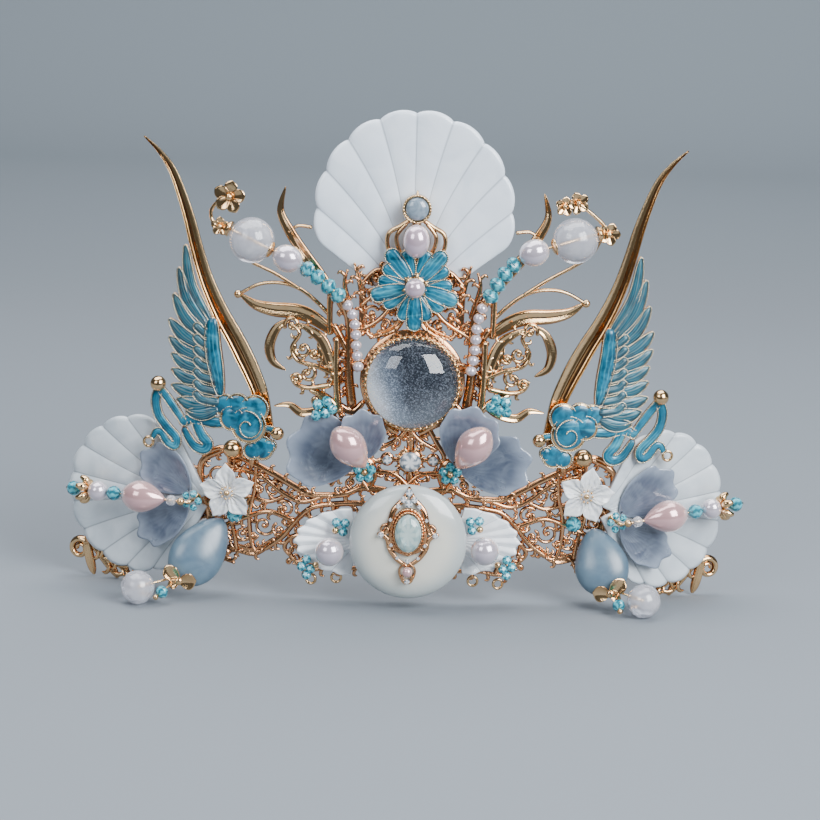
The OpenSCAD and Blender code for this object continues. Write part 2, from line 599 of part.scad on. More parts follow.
module horn(s) {
    n = len(horn_rows) - 1;
    function heading(k) = let (a = horn_rows[max(k - 1, 0)], b = horn_rows[min(k + 1, n)])
        unit([b[0] - a[0], b[1] - a[1]]);
    // Across is square to the run; depth grows with the width, and the face is hollowed
    function ring(k) = let (r = horn_rows[k], h = heading(k), w = r[2] / 2, t = 0.5 + 0.28 * r[2])
        [for (p = [[-1, t], [-0.5, 0.55 * t], [0.5, 0.55 * t], [1, t], [0.7, 0.2 * t], [0, 0], [-0.7, 0.2 * t], [-0.95, 0.6 * t]])
            [r[0] + p[0] * w * h[1], -horn_d - p[1], r[1] - p[0] * w * h[0]]];
    color(gold) side_plane(s) loft([for (k = [0:n]) ring(k)]);
}

// Wings in enamel: feathers, coverts, shoulder, cloud and ribbons

wing_d = 4.1;

// Rows of [root u, root z, tip u, tip z, width]
feather_rows = [
    [38.6, 88, 46.6, 110.8, 3.0], [39.4, 86, 48.6, 103.6, 3.4], [39.8, 83, 50, 95.4, 3.8],
    [40, 79.5, 51.3, 87.4, 4.0], [40, 76, 51.2, 81.8, 4.0], [39.6, 72.4, 50.4, 76.6, 4.0],
    [39.2, 68.8, 50.2, 71.8, 4.0], [38.6, 65.2, 50.2, 66.8, 4.2], [37.6, 61.6, 48.4, 62.4, 4.6],
    [36.6, 59.6, 45.4, 58.6, 3.6]];

module feathers(slim) {
    for (f = feather_rows) {
        a = [f[0], f[1]];
        b = [f[2], f[3]];
        side = [0.09 * (b[1] - a[1]), -0.09 * (b[0] - a[0])];
        stroke(curve([a, lerp(a, b, 0.5) + side, b]), f[4] * 0.7 - slim, 0.9 - 0.4 * slim, f[4] * 0.5);
    }
}

module coverts() {
    for (k = [0:6])
        stroke(curve([[37.4 - 0.2 * k, 83.4 - 3.5 * k], [40.6, 84.6 - 3.6 * k], [42.4, 86 - 3.6 * k]]), 2.6, 2.4);
}

module shoulder(slim) {
    stroke(curve([[37.8, 87], [37.2, 80.3], [35.8, 72.3], [35.2, 66.8]]), 2.6 - slim, 4 - slim, 2.2);
}

// Rows of [u, z, radius]
cloud_rows = [
    [33.4, 61.4, 3.7], [29.2, 61.6, 4], [23.6, 61, 4.5], [25.6, 55.6, 5.8], [31, 57.4, 4],
    [21.2, 48.6, 4], [24.4, 47.4, 2.9], [18.6, 49.4, 2.2]];

ribbon_rows = [
    [2.2, 1.2, 0.6, [[54.8, 65.4], [55.9, 61.6], [55, 57], [52.2, 53.2], [49.2, 50], [49.6, 47.4], [52, 48.4], [54, 51.2], [55.6, 51.4], [56.8, 49.6]]],
    [1.8, 1.6, 0.4, [[54.6, 65.6], [51.6, 62], [49.4, 59], [46.6, 55]]],
    [2.2, 2.4, 0.6, [[47, 55], [43, 56.8], [38, 55.8], [33, 56]]],
    [1.6, 2.4, 0.8, [[46.4, 52.4], [43.4, 48], [40.4, 46.9], [38.8, 48.6], [41, 51.6], [43, 56]]],
    [1.2, 1.2, 0, [[21, 55], [18.4, 54.8], [16.2, 53.6]]]];

module wing_drawing() {
    feathers(0);
    shoulder(0);
    for (c = cloud_rows) translate([c[0], c[1]]) circle(r = c[2], $fn = 40);
    strokes(ribbon_rows);
    // The ring that ends the outer ribbon
    translate([58.2, 48]) difference() {
        circle(r = 1.9, $fn = 32);
        circle(r = 1.1, $fn = 32);
    }
}

module wing(s) {
    color(enamel) side_plane(s) {
        slab(wing_d, wing_d + 1) wing_drawing();
        slab(wing_d + 0.5, wing_d + 1.5) feathers(1);
        slab(wing_d, wing_d + 2) coverts();
        slab(wing_d + 0.7, wing_d + 2.5) shoulder(0.8);
        slab(wing_d + 0.4, wing_d + 2.2) {
            stroke(spiral([25.6, 55.2], 5.4, 1, 80, 430, 16), 2, 1);
            for (c = [cloud_rows[0], cloud_rows[2], cloud_rows[5]])
                translate([c[0], c[1]]) circle(r = c[2] - 0.9, $fn = 32);
        }
        // Gold balls [u, z, radius]
        for (b = [[55, 67, 2.5], [16.2, 53.6, 2.1]])
            facing(b[0], b[1], wing_d + 1.1) sphere(r = b[2], $fn = 48);
    }
}

// Top shell and its setting

module fan_shell_top() {
    color(shell_white) center_plane()
        facing(0, top_shell_z - top_shell_half_h, -shell_t)
            fan_shell(top_shell_r, top_shell_half_h, top_lobes, 220, 1.8, 0.6, 0, shell_t - 0.6);
}

setting_d = 1.7;

// Rows of [start width, end width, belly, points], for one half of the setting
ear_strokes = [
    [1.6, 1.4, 0, [[2.6, 121.6], [5.2, 119.8], [8.4, 117.8], [8.9, 114.2], [7.4, 111], [4.4, 109.6]]],
    [1.4, 1.4, 0, [[3.4, 120.6], [6, 117], [5.4, 113], [3, 110]]]];

module top_setting() {
    wall = 0.8;
    color(gold) center_plane() {
        slab(setting_d, setting_d + 1.1) translate([axis_x, 0]) {
            translate([0, cabochon_z]) circle(r = cabochon_r + wall + 0.1, $fn = 64);
            for (s = [-1, 1]) mirror([s < 0 ? 1 : 0, 0]) strokes(ear_strokes);
            stroke([[0, 121], [0, 108.6]], 2.6, 5);
            stroke([[0, 128], [0, 130.6]], 2, 0.6);
        }
        slab(setting_d + 0.6, setting_d + 1.6) translate([axis_x, 0])
            for (s = [-1, 1]) mirror([s < 0 ? 1 : 0, 0]) strokes([ear_strokes[0]], 0.4);
        facing(axis_x, cabochon_z, setting_d + 0.5) difference() {
            cylinder(r = cabochon_r + wall, h = 3.2, $fn = 64);
            translate([0, 0, 1]) cylinder(r = cabochon_r + 0.15, h = 4, $fn = 64);
        }
    }
}

module top_cabochon() {
    color(aqua) center_plane() facing(axis_x, cabochon_z, setting_d + 1.7)
        rotate_extrude($fn = 64) polygon(concat(
            [[0, 0], [cabochon_r, 0]],
            [for (a = [0:15:75]) [cabochon_r * cos(a), 1.6 + 1.8 * sin(a)]], [[0, 3.4]]));
}

flower_d = 3.6;
flower_pearl_r = 3.1;

module center_pearls() {
    rx = 4.1;
    rz = 5.2;
    color(pearl_pink) center_plane() {
        translate([axis_x, -(setting_d + 1.1 + gap + rx), top_pearl_z]) rotate_extrude($fn = 64)
            polygon([for (i = [0:16]) [rx * sin(11.25 * i), -rz * cos(11.25 * i)]]);
        facing(axis_x, flower_z, flower_d + 2 + flower_pearl_r) sphere(r = flower_pearl_r, $fn = 64);
    }
}

// Enamel flower: five petals, each of three lobes

module flower_lobes(slim) {
    for (turn = [-90, -20, 50, 128, 194]) rotate(turn) {
        stroke([[3, 0], [7.5, 0], [flower_r - 2.2, 0]], 2.4 - slim, 3.6 - slim, 0.9);
        for (s = [-1, 1]) rotate(s * 19)
            stroke([[3.2, 0], [7, 0], [flower_r - 4, 0]], 2 - slim, 3 - slim, 0.8);
    }
}

module enamel_flower() {
    color(enamel) center_plane() {
        slab(flower_d, flower_d + 1) translate([axis_x, flower_z]) {
            flower_lobes(0);
            circle(r = 4, $fn = 48);
        }
        slab(flower_d + 0.5, flower_d + 1.5) translate([axis_x, flower_z]) flower_lobes(1);
        facing(axis_x, flower_z, flower_d + 0.5) cylinder(r = 2.4, h = 1.2, $fn = 48);
    }
}

// Crystal dome in its milled bezel

module crystal_bezel() {
    color(gold) center_plane() {
        slab(dome_d, dome_d + 1.6) translate([axis_x, dome_z])
            for (i = [0:bezel_teeth - 1]) rotate(360 * i / bezel_teeth) polygon([
                [dome_r + 0.4, 1.05], [bezel_r - 0.5, 0.9], [bezel_r - 0.1, 0.5],
                [bezel_r - 0.1, -0.5], [bezel_r - 0.5, -0.9], [dome_r + 0.4, -1.05]]);
        facing(axis_x, dome_z, dome_d + 0.4) difference() {
            cylinder(r = dome_r + 0.8, h = 2.6, $fn = 96);
            translate([0, 0, 0.7]) cylinder(r = dome_r + 0.15, h = 4, $fn = 96);
            translate([0, 0, -1]) cylinder(r = dome_r - 1.6, h = 4, $fn = 96);
        }
    }
}

module crystal_dome() {
    color("#7c828a") center_plane() facing(axis_x, dome_z, dome_d + 1.2)
        rotate_extrude($fn = 96) polygon(concat(
            [[0, 0], [dome_r, 0]],
            [for (a = [0:9:81]) [dome_r * cos(a), 1.4 + (dome_rise - 1.4) * sin(a)]], [[0, dome_rise]]));
}

module panel_gems() {
    color("#cfe6dc") center_plane() {
        facing(axis_x, gem_z, plate_t + gap) cut_stone(3.4, 3.2, 2.6, 12);
        for (x = [-7.2, 7.2]) facing(axis_x + x, gem_z + 0.3, plate_t + gap) cut_stone(1.5, 1.5, 1.6, 8);
    }
}

// Jade disc and the ornament on it

// Height of the disc's face over its middle plane at radius r
function disc_face(r) = disc_half_t * pow(1 - pow(r / disc_r, 3.2), 0.55);

module jade_disc() {
    color(jade) center_plane() facing(axis_x, disc_z, disc_d) rotate_extrude($fn = 96) polygon(concat(
        [[0, -disc_half_t], [disc_seat_r + 0.6, -disc_half_t]],
        [for (k = [4:-1:1]) let (r = disc_r - 0.2 * k * k) [r, -0.9 * disc_face(r)]],
        [[disc_r, 0]],
        [for (share = [0.984, 0.94, 0.874, 0.765, 0.6, 0.38]) [share * disc_r, disc_face(share * disc_r)]],
        [[0, disc_half_t]]));
}

// Rows for one half of the ornament, from the disc's own middle
ornament_strokes = [
    [1.2, 1.2, 0, [[0, 17], [2.2, 13.6], [4.6, 10.6]]],
    [1.8, 1.6, 0.4, [[1.2, 14.4], [4.6, 10.6], [5.9, 6], [7.4, 3.4], [9, 3]]],
    [1.6, 1.4, 0.4, [[8.6, 3], [6.4, 1.4], [5.4, -2], [3.2, -5], [0.4, -7]]],
    [1.6, 1.4, 0, [[4.9, 6], [5.4, 2], [4, -1.6], [0, -3.4]]],
    [1, 1, 0, [[0.6, -6], [2.4, -8.2], [1.8, -11.2], [0, -12.2]]]];

module ornament_drawing() {
    for (s = [-1, 1]) mirror([s < 0 ? 1 : 0, 0]) {
        strokes(ornament_strokes);
        spirals([[7, 4.4, 1.7, 90, -400], [5.2, -0.6, 1.5, 200, 380]], 0.8);
    }
    difference() {
        scale([1, 1.42]) circle(r = 5.1, $fn = 48);
        scale([1, 1.5]) circle(r = 3.2, $fn = 48);
    }
    translate([0, -8.3]) circle(r = 2.3, $fn = 32);
    translate([0, 14.6]) circle(r = 1.8, $fn = 32);
}

// The frame follows the disc's domed face
module ornament_frame() {
    radii = [0, 9, 12, 14.2, 16.2, 17.6];
    color(rose_gold) center_plane() facing(axis_x, disc_z, disc_d) intersection() {
        linear_extrude(2 * disc_half_t) offset(delta = 0.01) translate([0, 0.6]) ornament_drawing();
        rotate_extrude($fn = 96) polygon(concat(
            [for (r = radii) [r, disc_face(r) + gap]],
            [for (r = reversed(radii)) [r, disc_face(r) + gap + 1.2]]));
    }
}

module ornament_stones() {
    top = disc_d + disc_half_t + gap + 1.4;
    color("#bfe0dc") center_plane() {
        facing(axis_x, disc_z + 4.6, top + 0.2) cut_stone(4.1, 6, 2.8, 16);
        facing(axis_x, disc_z - 7.7, top - 0.1 + 1.5) sphere(r = 1.6, $fn = 32);
        for (p = [[0, 17, -2.6], [-0.9, 15, -1.9], [0.9, 15, -1.9], [-8.6, 3.6, 0.1], [8.6, 3.6, 0.1]])
            facing(axis_x + p[0], disc_z + p[1], top + 0.9 + p[2]) sphere(r = 0.7, $fn = 24);
    }
}

// Small pleated fans with their pearls and beads

fan_apex = [14.9, 20.4];

module small_fan(s) {
    color(shell_white) half_plane(s)
        facing(fan_apex[0] + s * 0.5, fan_apex[1] + s * 0.6, plate_t + gap)
            pleated_fan(20.6, 11, 9, 82, 1.1, 1.4, 1.1);
}

module fan_beads(s) {
    dz = s * 0.8;
    color(pearl_white) half_plane(s) facing(24.3 + s * 0.6, 18.6 + dz, 9.2) sphere(r = 4.5, $fn = 48);
    color(teal_glass) half_plane(s) {
        for (p = [[19.6, 27.2], [22.4, 27.4], [20.2, 24.4]])
            facing(p[0] + s * 0.6, p[1] + dz, 4.9) small_crystal(1.35);
        for (p = [[31.4, 15.2], [33, 12.9], [30.2, 12.2], [31.4, 10.2]])
            facing(p[0] + s * 0.6, p[1] + dz, 5.2) small_crystal(1.35);
    }
    color(gold) half_plane(s) for (p = [[28.6, 13.4], [22.6, 24.8]])
        facing(p[0] + s * 0.6, p[1] + dz, 6.3) sphere(r = 1.1, $fn = 32);
}

// Two hanging loops a side
module loops(s) {
    module loop() {
        difference() {
            cylinder(r = loop_r, h = 1.2, $fn = 48);
            translate([0, 0, -1]) cylinder(r = loop_bore_r, h = 4, $fn = 48);
        }
    }
    color(gold) {
        half_plane(s) facing(21.6, 9.2 - loop_r, 0.1) loop();
        side_plane(s) facing(5.6, 8.2 - loop_r, 0.1) loop();
    }
}

// Violet petals with their pearl drop and beads

petal_apex = [13.4, 43.6];

// Rows of [direction, length, width]
function violet_rows(s) = pick(s, [
    [[22, 25, 21], [86, 19, 13]],
    [[10, 25, 17], [66, 22, 17]]]);

module violet_petals(s) {
    color(violet) half_plane(s) for (i = [0, 1]) let (r = violet_rows(s)[i])
        facing(petal_apex[0], petal_apex[1], relief_t + gap + 1.2 * i) rotate(r[0])
            translate([2.6, 0, 0]) petal(r[1] - 2.6, r[2], 2, 0.9, 2);
}

module pink_drop(s) {
    tip = pick(s, [[13, -9.8, 45.2], [15.2, -9.8, 45.8]]);
    end = pick(s, [[22.4, -13.8, 58], [24.6, -13.4, 59.4]]);
    color(pearl_pink) half_plane(s) along(tip, end - tip) pearl_drop(17, 5.8, 0.4);
}

module petal_beads(s) {
    color(teal_glass) half_plane(s) {
        for (i = [0:4]) let (a = 18 + 72 * i)
            facing(petal_apex[0] + 2.3 * cos(a), petal_apex[1] - 1 + 2.3 * sin(a), 4.3) sphere(r = 1.15, $fn = 24);
        for (p = pick(s, [
                [[25.6, 65], [28.4, 64], [26, 61.4], [28.8, 60.6], [24, 62.6]],
                [[27, 67], [30, 66.4], [27.8, 63.8], [30.2, 63.2], [25.4, 64.6]]]))
            facing(p[0], p[1], 4.4) small_crystal(1.45);
    }
    color(gold) half_plane(s) facing(petal_apex[0], petal_apex[1] - 1, 4.9) sphere(r = 1.1, $fn = 32);
}

// Side shells with petals and a bead row on a wire

module side_shell(s) {
    len = pick(s, [49, 43]);
    color(shell_white) tail_plane(s) facing(pick(s, [-7, -8.6]), 29.8, shell_d) rotate(-90)
        fan_shell(25.8, len / 2, 11, 250, 1.5, 0.6, 0, shell_t - 0.6);
}

// Rows of [direction, length, width]
function side_petal_rows(s) = pick(s, [
    [[37.5, 19.4, 13.4], [-37, 20, 12]],
    [[35, 21, 13.6], [-37, 19.5, 11.6]]]);

module side_petals(s) {
    color(violet) tail_plane(s) for (i = [0, 1]) let (r = side_petal_rows(s)[i])
        facing(row_start(s)[0], row_start(s)[1], petal_d + 1.2 * i) rotate(r[0])
            translate([3, 0, 0]) petal(r[1], r[2], 0.7, 0.8, 1.2);
}

// Bead row on the tail plane: its start as [v, z], its slope, and what is on it in turn
function row_start(s) = pick(s, [[-3, 30.8], [-4.2, 27.6]]);
function row_slope(s) = pick(s, [0.6, 6.4]);
// Lengths: gold ball, clear bead, drop, crystal, pearl, gold cap, end crystal
row_lengths = [2.5, 3.5, side_drop_len, 4.4, 6.5, 2.6, 4.3];
row_space = 0.2;
row_lead = 1.2;
function row_place(i) = row_lead + i * row_space + (i == 0 ? 0 : [for (k = 0, sum = 0; k <= i; sum = sum + row_lengths[k], k = k + 1) sum][i]);
row_end = row_place(6) + row_lengths[6];

// Children run along the row from a distance out
module on_row(s, out) {
    tail_plane(s) translate([row_start(s)[0], -row_d, row_start(s)[1]])
        rotate([0, 90 - row_slope(s), 0]) translate([0, 0, out]) children();
}

module ball_on_row(s, i, r) {
    on_row(s, row_place(i) + row_lengths[i] / 2) bead([0, 0, 0], [0, 0, 1], r);
}

module side_drop(s) {
    color(pearl_pink) on_row(s, row_place(2)) pearl_drop(side_drop_len, side_drop_r, bead_hole_r);
}

module side_beads(s) {
    color(pearl_white) {
        ball_on_row(s, 1, row_lengths[1] / 2);
        ball_on_row(s, 4, row_lengths[4] / 2);
    }
    color(teal_glass) {
        for (i = [3, 6]) on_row(s, row_place(i) + row_lengths[i] / 2)
            crystal([0, 0, 0], [0, 0, 1], 2.3, row_lengths[i] / 2);
        // Bead flower round the wire's foot
        tail_plane(s) for (i = [0:4]) let (a = 72 * i + 36)
            facing(row_start(s)[0] + 2.3 * cos(a), row_start(s)[1] + 2.3 * sin(a), row_d - 2.8)
                sphere(r = 1.1, $fn = 24);
        side_plane(s) facing(pick(s, [29.9, 28.6]), 26.2, relief_t + 0.2) small_crystal(2.5);
    }
}

module side_wire(s) {
    color(gold) {
        on_row(s, 0) cylinder(r = wire_r, h = row_end + 0.5, $fn = 24);
        on_row(s, row_place(0) + row_lengths[0] / 2) sphere(r = row_lengths[0] / 2, $fn = 32);
        on_row(s, row_place(5)) linear_extrude(1.4) offset(delta = 0.01) {
            for (i = [0:5]) rotate(60 * i) stroke([[1, 0], [2.8, 0], [4.2, 0]], 1.6, 1, 1.2);
            circle(r = 2, $fn = 32);
        }
        tail_plane(s) facing(row_start(s)[0], row_start(s)[1], petal_d) {
            cylinder(r = 0.7, h = row_d - petal_d, $fn = 24);
            cylinder(r = 1.5, h = 0.5, $fn = 32);
        }
    }
}

white_flower_u = 31.6;
white_flower_d = 6.2;
function white_flower_z(s) = pick(s, [34, 36]);

module white_flower(s) {
    spin = pick(s, [84, 78]);
    color(shell_white) side_plane(s) {
        slab(white_flower_d, white_flower_d + 1) translate([white_flower_u, white_flower_z(s)]) {
            for (i = [0:4]) rotate(spin + 72 * i)
                stroke([[1.5, 0], [4.6, 0], [white_flower_r - 1.8, 0]], 2.4, 3.6, 2.2);
            circle(r = 2.6, $fn = 32);
        }
        slab(white_flower_d + 0.5, white_flower_d + 1.6) translate([white_flower_u, white_flower_z(s)])
            for (i = [0:4]) rotate(spin + 72 * i)
                stroke([[2.4, 0], [4.6, 0], [white_flower_r - 2, 0]], 1.4, 2.4, 2);
        facing(white_flower_u, white_flower_z(s), white_flower_d + 1.6) sphere(r = 1.7, $fn = 32);
    }
}

// Drop stones at the foot of each side, in the crown's own axes

// Ends of each drop's axis, as [distance out, y, z]
function drop_top(s) = pick(s, [[57.9, 1.4, 24.3], [59.2, 1.4, 24.6]]);
function drop_foot(s) = pick(s, [[71.3, -6.4, 5.4], [64.4, -6.6, 5]]);
function foot_ball(s) = pick(s, [[83.3, -13, quartz_foot_r], [75, -13, quartz_foot_r]]);
function bicone_place(s) = pick(s, [[75.7, -13.2, 4], [67.2, -13.6, 3.9]]);

module own_axes(s) { mirror([s < 0 ? 1 : 0, 0, 0]) children(); }

module teardrop(s) {
    a = drop_top(s);
    b = drop_foot(s);
    run = unit(b - a);
    across = unit(cross(run, [0, -1, 0]));
    out = cross(across, run);
    widest = 0.58;
    function fullness(t) = let (q = t < widest ? (widest - t) / widest : (t - widest) / (1 - widest))
        pow(max(1 - pow(q, 2.1), 0.004), 0.5);
    color(aqua) own_axes(s)
        loft([for (t = [0, 0.06, 0.15, 0.3, 0.5, 0.68, 0.82, 0.92, 0.98, 1])
            oval_ring(lerp(a, b, t), 8.5 * fullness(t) * across, 4.3 * fullness(t) * out, 16)]);
}

// Leaf cap under the drop, with the wires of the crystal and of the quartz bead
function cap_place(s) = drop_foot(s) + pick(s, [[-0.4, -2.2, 1], [0.4, -2.2, 1.2]]);
function bicone_root(s) = cap_place(s) + [2, -0.8, -0.6];

module foot_cap(s) {
    c = cap_place(s);
    q = bicone_place(s);
    ball = foot_ball(s);
    color(gold) own_axes(s) {
        translate([c[0], c[1], c[2]]) rotate([90, 0, 0]) linear_extrude(1.2) offset(delta = 0.01) {
            stroke([[0, 0], [-2.6, 0.6], [-5, 0.2]], 2.6, 1, 2.4);
            stroke([[0, 0], [2.4, 2.6], [4, 4.8]], 2.6, 1, 2);
            stroke([[0, 0], [1.4, -0.6], [3, -1.2]], 2.6, 1.6);
        }
        wire([bicone_root(s), q, q + 3 * unit(q - bicone_root(s))], wire_r);
        wire([c + [0.6, -0.6, 1.4], lerp(c, ball, 0.4) + [0, 0.6, 0.8], ball], wire_r);
        translate(q + 3 * unit(q - bicone_root(s))) sphere(r = 0.9, $fn = 24);
    }
}

module quartz_foot(s) {
    c = cap_place(s);
    q = bicone_place(s);
    ball = foot_ball(s);
    mid = lerp(c, ball, 0.4) + [0, 0.6, 0.8];
    color(quartz) own_axes(s) bead(ball, ball - mid, quartz_foot_r);
    color(teal_glass) own_axes(s) crystal(q, q - bicone_root(s), 2, 1.7);
}

frame_center();
frame_side(-1);  // frame_left
frame_side(1);  // frame_right
scroll(-1);  // scroll_left
scroll(1);  // scroll_right
spray(-1);  // spray_left
spray(1);  // spray_right
branch_wire(-1);  // branch_wire_left
branch_wire(1);  // branch_wire_right
branch_beads(-1);  // branch_beads_left
branch_beads(1);  // branch_beads_right
quartz_ball(-1);  // quartz_ball_left
quartz_ball(1);  // quartz_ball_right
tip_flower(-1);  // tip_flower_left
tip_flower(1);  // tip_flower_right
horn(-1);  // horn_left
horn(1);  // horn_right
wing(-1);  // wing_left
wing(1);  // wing_right
fan_shell_top();
top_setting();
top_cabochon();
center_pearls();
enamel_flower();
crystal_bezel();
crystal_dome();
panel_gems();
jade_disc();
ornament_frame();
ornament_stones();
small_fan(-1);  // small_fan_left
small_fan(1);  // small_fan_right
fan_beads(-1);  // fan_beads_left
fan_beads(1);  // fan_beads_right
violet_petals(-1);  // violet_petals_left
violet_petals(1);  // violet_petals_right
pink_drop(-1);  // pink_drop_left
pink_drop(1);  // pink_drop_right
petal_beads(-1);  // petal_beads_left
petal_beads(1);  // petal_beads_right
side_shell(-1);  // side_shell_left
side_shell(1);  // side_shell_right
side_petals(-1);  // side_petals_left
side_petals(1);  // side_petals_right
side_drop(-1);  // side_drop_left
side_drop(1);  // side_drop_right
side_beads(-1);  // side_beads_left
side_beads(1);  // side_beads_right
side_wire(-1);  // side_wire_left
side_wire(1);  // side_wire_right
white_flower(-1);  // white_flower_left
white_flower(1);  // white_flower_right
teardrop(-1);  // teardrop_left
teardrop(1);  // teardrop_right
quartz_foot(-1);  // quartz_foot_left
quartz_foot(1);  // quartz_foot_right
foot_cap(-1);  // foot_cap_left
foot_cap(1);  // foot_cap_right
loops(-1);  // loops_left
loops(1);  // loops_right
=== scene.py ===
import bpy
import numpy as np
from mathutils import Matrix, Vector


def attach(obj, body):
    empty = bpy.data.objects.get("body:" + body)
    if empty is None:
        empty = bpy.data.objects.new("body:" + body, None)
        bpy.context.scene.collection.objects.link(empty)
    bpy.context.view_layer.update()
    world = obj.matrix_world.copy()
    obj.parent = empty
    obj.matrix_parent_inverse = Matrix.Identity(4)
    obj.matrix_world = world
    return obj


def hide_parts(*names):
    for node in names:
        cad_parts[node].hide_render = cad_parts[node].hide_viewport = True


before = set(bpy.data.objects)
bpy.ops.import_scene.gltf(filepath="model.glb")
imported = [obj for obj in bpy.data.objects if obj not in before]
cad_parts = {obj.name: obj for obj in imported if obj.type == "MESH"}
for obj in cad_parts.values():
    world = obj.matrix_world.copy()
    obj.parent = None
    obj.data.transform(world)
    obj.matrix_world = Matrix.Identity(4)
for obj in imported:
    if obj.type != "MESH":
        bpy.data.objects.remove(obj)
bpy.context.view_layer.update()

# Hair crown: gold scrollwork with shell fans, enamel wings, a crystal dome and a jade disc.
# Sizes are in millimetres. On a plane, u runs outward, z up and d toward the viewer.
# The center panel stands at PANEL_Y. From BEND_X a side turns back by SIDE_YAW, and from TAIL_X
# its tail by TAIL_YAW. The center pieces share an axis that is AXIS_X to the right.
MM = 0.001
SIDES = (-1, 1)
PANEL_Y = -1.5
BEND_X, SIDE_YAW = 24.0, 11.0
TAIL_X, TAIL_YAW = 68.0, 19.0
AXIS_X = 0.8
PLATE_T, RELIEF_T, GAP = 1.4, 2.1, 0.3

# Pieces on the center line: heights, depths and sizes
DOME_Z, DOME_R, DOME_RISE, BEZEL_R = 71.4, 14.2, 9.0, 15.5
DOME_D = RELIEF_T + 0.2
FLOWER_Z, FLOWER_D = 101.8, 3.6
GEM_Z, SIDE_GEM_X, SIDE_GEM_Z = 45.9, 7.2, 46.2
DISC_Z, DISC_R, DISC_HALF_T, DISC_D, DISC_SEAT_R = 22.1, 18.3, 4.8, 10.2, 12.4
PETAL_APEX, PETAL_BEAD_Z = (13.4, 43.6), 42.6
UPRIGHT = (0, 1, 0)


def pick(s, pair):
    """The left or the right one of a pair that differs between the two sides."""
    return pair[0] if s < 0 else pair[1]


def side_name(word, s):
    return word + pick(s, ("_left", "_right"))


def plane(s, start_x, start_y, yaw):
    """Turns points (u, z, d) of an upright plane into the crown's x, y, z. The plane starts at
    start_x, start_y and turns back by yaw; s mirrors it to the left."""
    c, k = np.cos(np.radians(yaw)), np.sin(np.radians(yaw))

    def place(points):
        u, z, d = np.moveaxis(np.asarray(points, float), -1, 0)
        return np.stack([s * (start_x + u * c + d * k), start_y + u * k - d * c, z], -1)

    return place


TAIL_U = (TAIL_X - BEND_X) / np.cos(np.radians(SIDE_YAW))
TAIL_Y = PANEL_Y + TAIL_U * np.sin(np.radians(SIDE_YAW))
ON_CENTER = plane(1, AXIS_X, PANEL_Y, 0)
ON_HALF = {s: plane(s, 0, PANEL_Y, 0) for s in SIDES}
ON_SIDE = {s: plane(s, BEND_X, PANEL_Y, SIDE_YAW) for s in SIDES}
ON_TAIL = {s: plane(s, TAIL_X, TAIL_Y, TAIL_YAW) for s in SIDES}


def in_own_axes(s):
    """Places points given as distance out, y and z."""
    return lambda points: np.asarray(points, float) * [s, 1, 1]


def side_on_half(u, z, d):
    """A point of the side plane, given on the half plane."""
    c, k = np.cos(np.radians(SIDE_YAW)), np.sin(np.radians(SIDE_YAW))
    return [BEND_X + u * c + d * k, z, d * c - u * k]


# Surfaces. Each is (points, faces, along, across), where along runs 0 to 1 over the rings.
PER_LOBE = 12
SHELL_RIB = 0.6


def unit(v):
    return v / np.linalg.norm(v, axis=-1, keepdims=True)


def square_to(axis):
    """The unit vector along an axis and two more that are square to it and to each other."""
    axis = unit(np.asarray(axis, float))
    a = unit(np.cross([1.0, 0, 0] if abs(axis[0]) < 0.9 else [0, 1.0, 0], axis))
    return axis, a, np.cross(axis, a)


def lengths(path):
    """Distance along a path at each of its points."""
    return np.append(0, np.cumsum(np.linalg.norm(np.diff(path, axis=0), axis=1)))


def lifted(points, d):
    """Flat points with the depth d added."""
    return np.column_stack([points, np.full(len(points), d)])


def skin(rings, across=None, joined=False, sheet=False):
    """Closed skin over rings of points: quads between neighbouring rings. Each end ring is
    closed by a fan to its middle, on a sheet by quads from its front half to its back half, or,
    if joined, the last ring meets the first."""
    rings = np.asarray(rings, float)
    n, m, _ = rings.shape
    low = np.arange(n * m).reshape(n, m)
    high = np.roll(low, -1, axis=0)
    if not joined:
        low, high = low[:-1], high[:-1]
    quads = np.stack([low, np.roll(low, -1, 1), np.roll(high, -1, 1), high], -1).reshape(-1, 4)
    points = rings.reshape(-1, 3)
    along = np.repeat(np.linspace(0, 1, n), m)
    across = np.tile(np.zeros(m) if across is None else across, n)
    fans = np.zeros((0, 3), int)
    if sheet:
        k = np.arange(m // 2 - 1)
        edge = np.stack([k + 1, k, m - 1 - k, m - 2 - k], -1)
        quads = np.vstack([quads, edge, edge[:, ::-1] + (n - 1) * m])
    elif not joined:
        points = np.vstack([points, rings[[0, -1]].mean(axis=1)])
        along, across = np.append(along, [0, 1]), np.append(across, [0, 0])
        first, last = np.arange(m), np.arange((n - 1) * m, n * m)
        hub = np.full(m, n * m)
        fans = np.vstack([np.stack([hub, np.roll(first, -1), first], -1),
                          np.stack([hub + 1, last, np.roll(last, -1)], -1)])
    return points, [quads, fans], along, across


def smooth(points, per_span=8):
    """Smooth curve through points: on each span, the cubic whose end slopes are half the chord
    between the neighbours of that end."""
    p = np.asarray(points, float)
    q = np.vstack([p[:1], p, p[-1:]])
    a, b, c, d = (x[:, None, :] for x in (q[:-3], q[1:-2], q[2:-1], q[3:]))
    t = (np.arange(per_span) / per_span)[None, :, None]
    run = 0.5 * (2 * b + (c - a) * t + (2 * a - 5 * b + 4 * c - d) * t**2
                 + (3 * b - a - 3 * c + d) * t**3)
    return np.vstack([run.reshape(-1, p.shape[1]), p[-1:]])


def spiral(x, z, radius, start, turn, inner=0.5, steps=36):
    """Points whose radius falls evenly to inner while their angle turns on from start."""
    share = np.linspace(0, 1, steps + 1)
    angle = np.radians(start + turn * share)
    r = radius + (inner - radius) * share
    return np.stack([x + r * np.cos(angle), z + r * np.sin(angle)], -1)


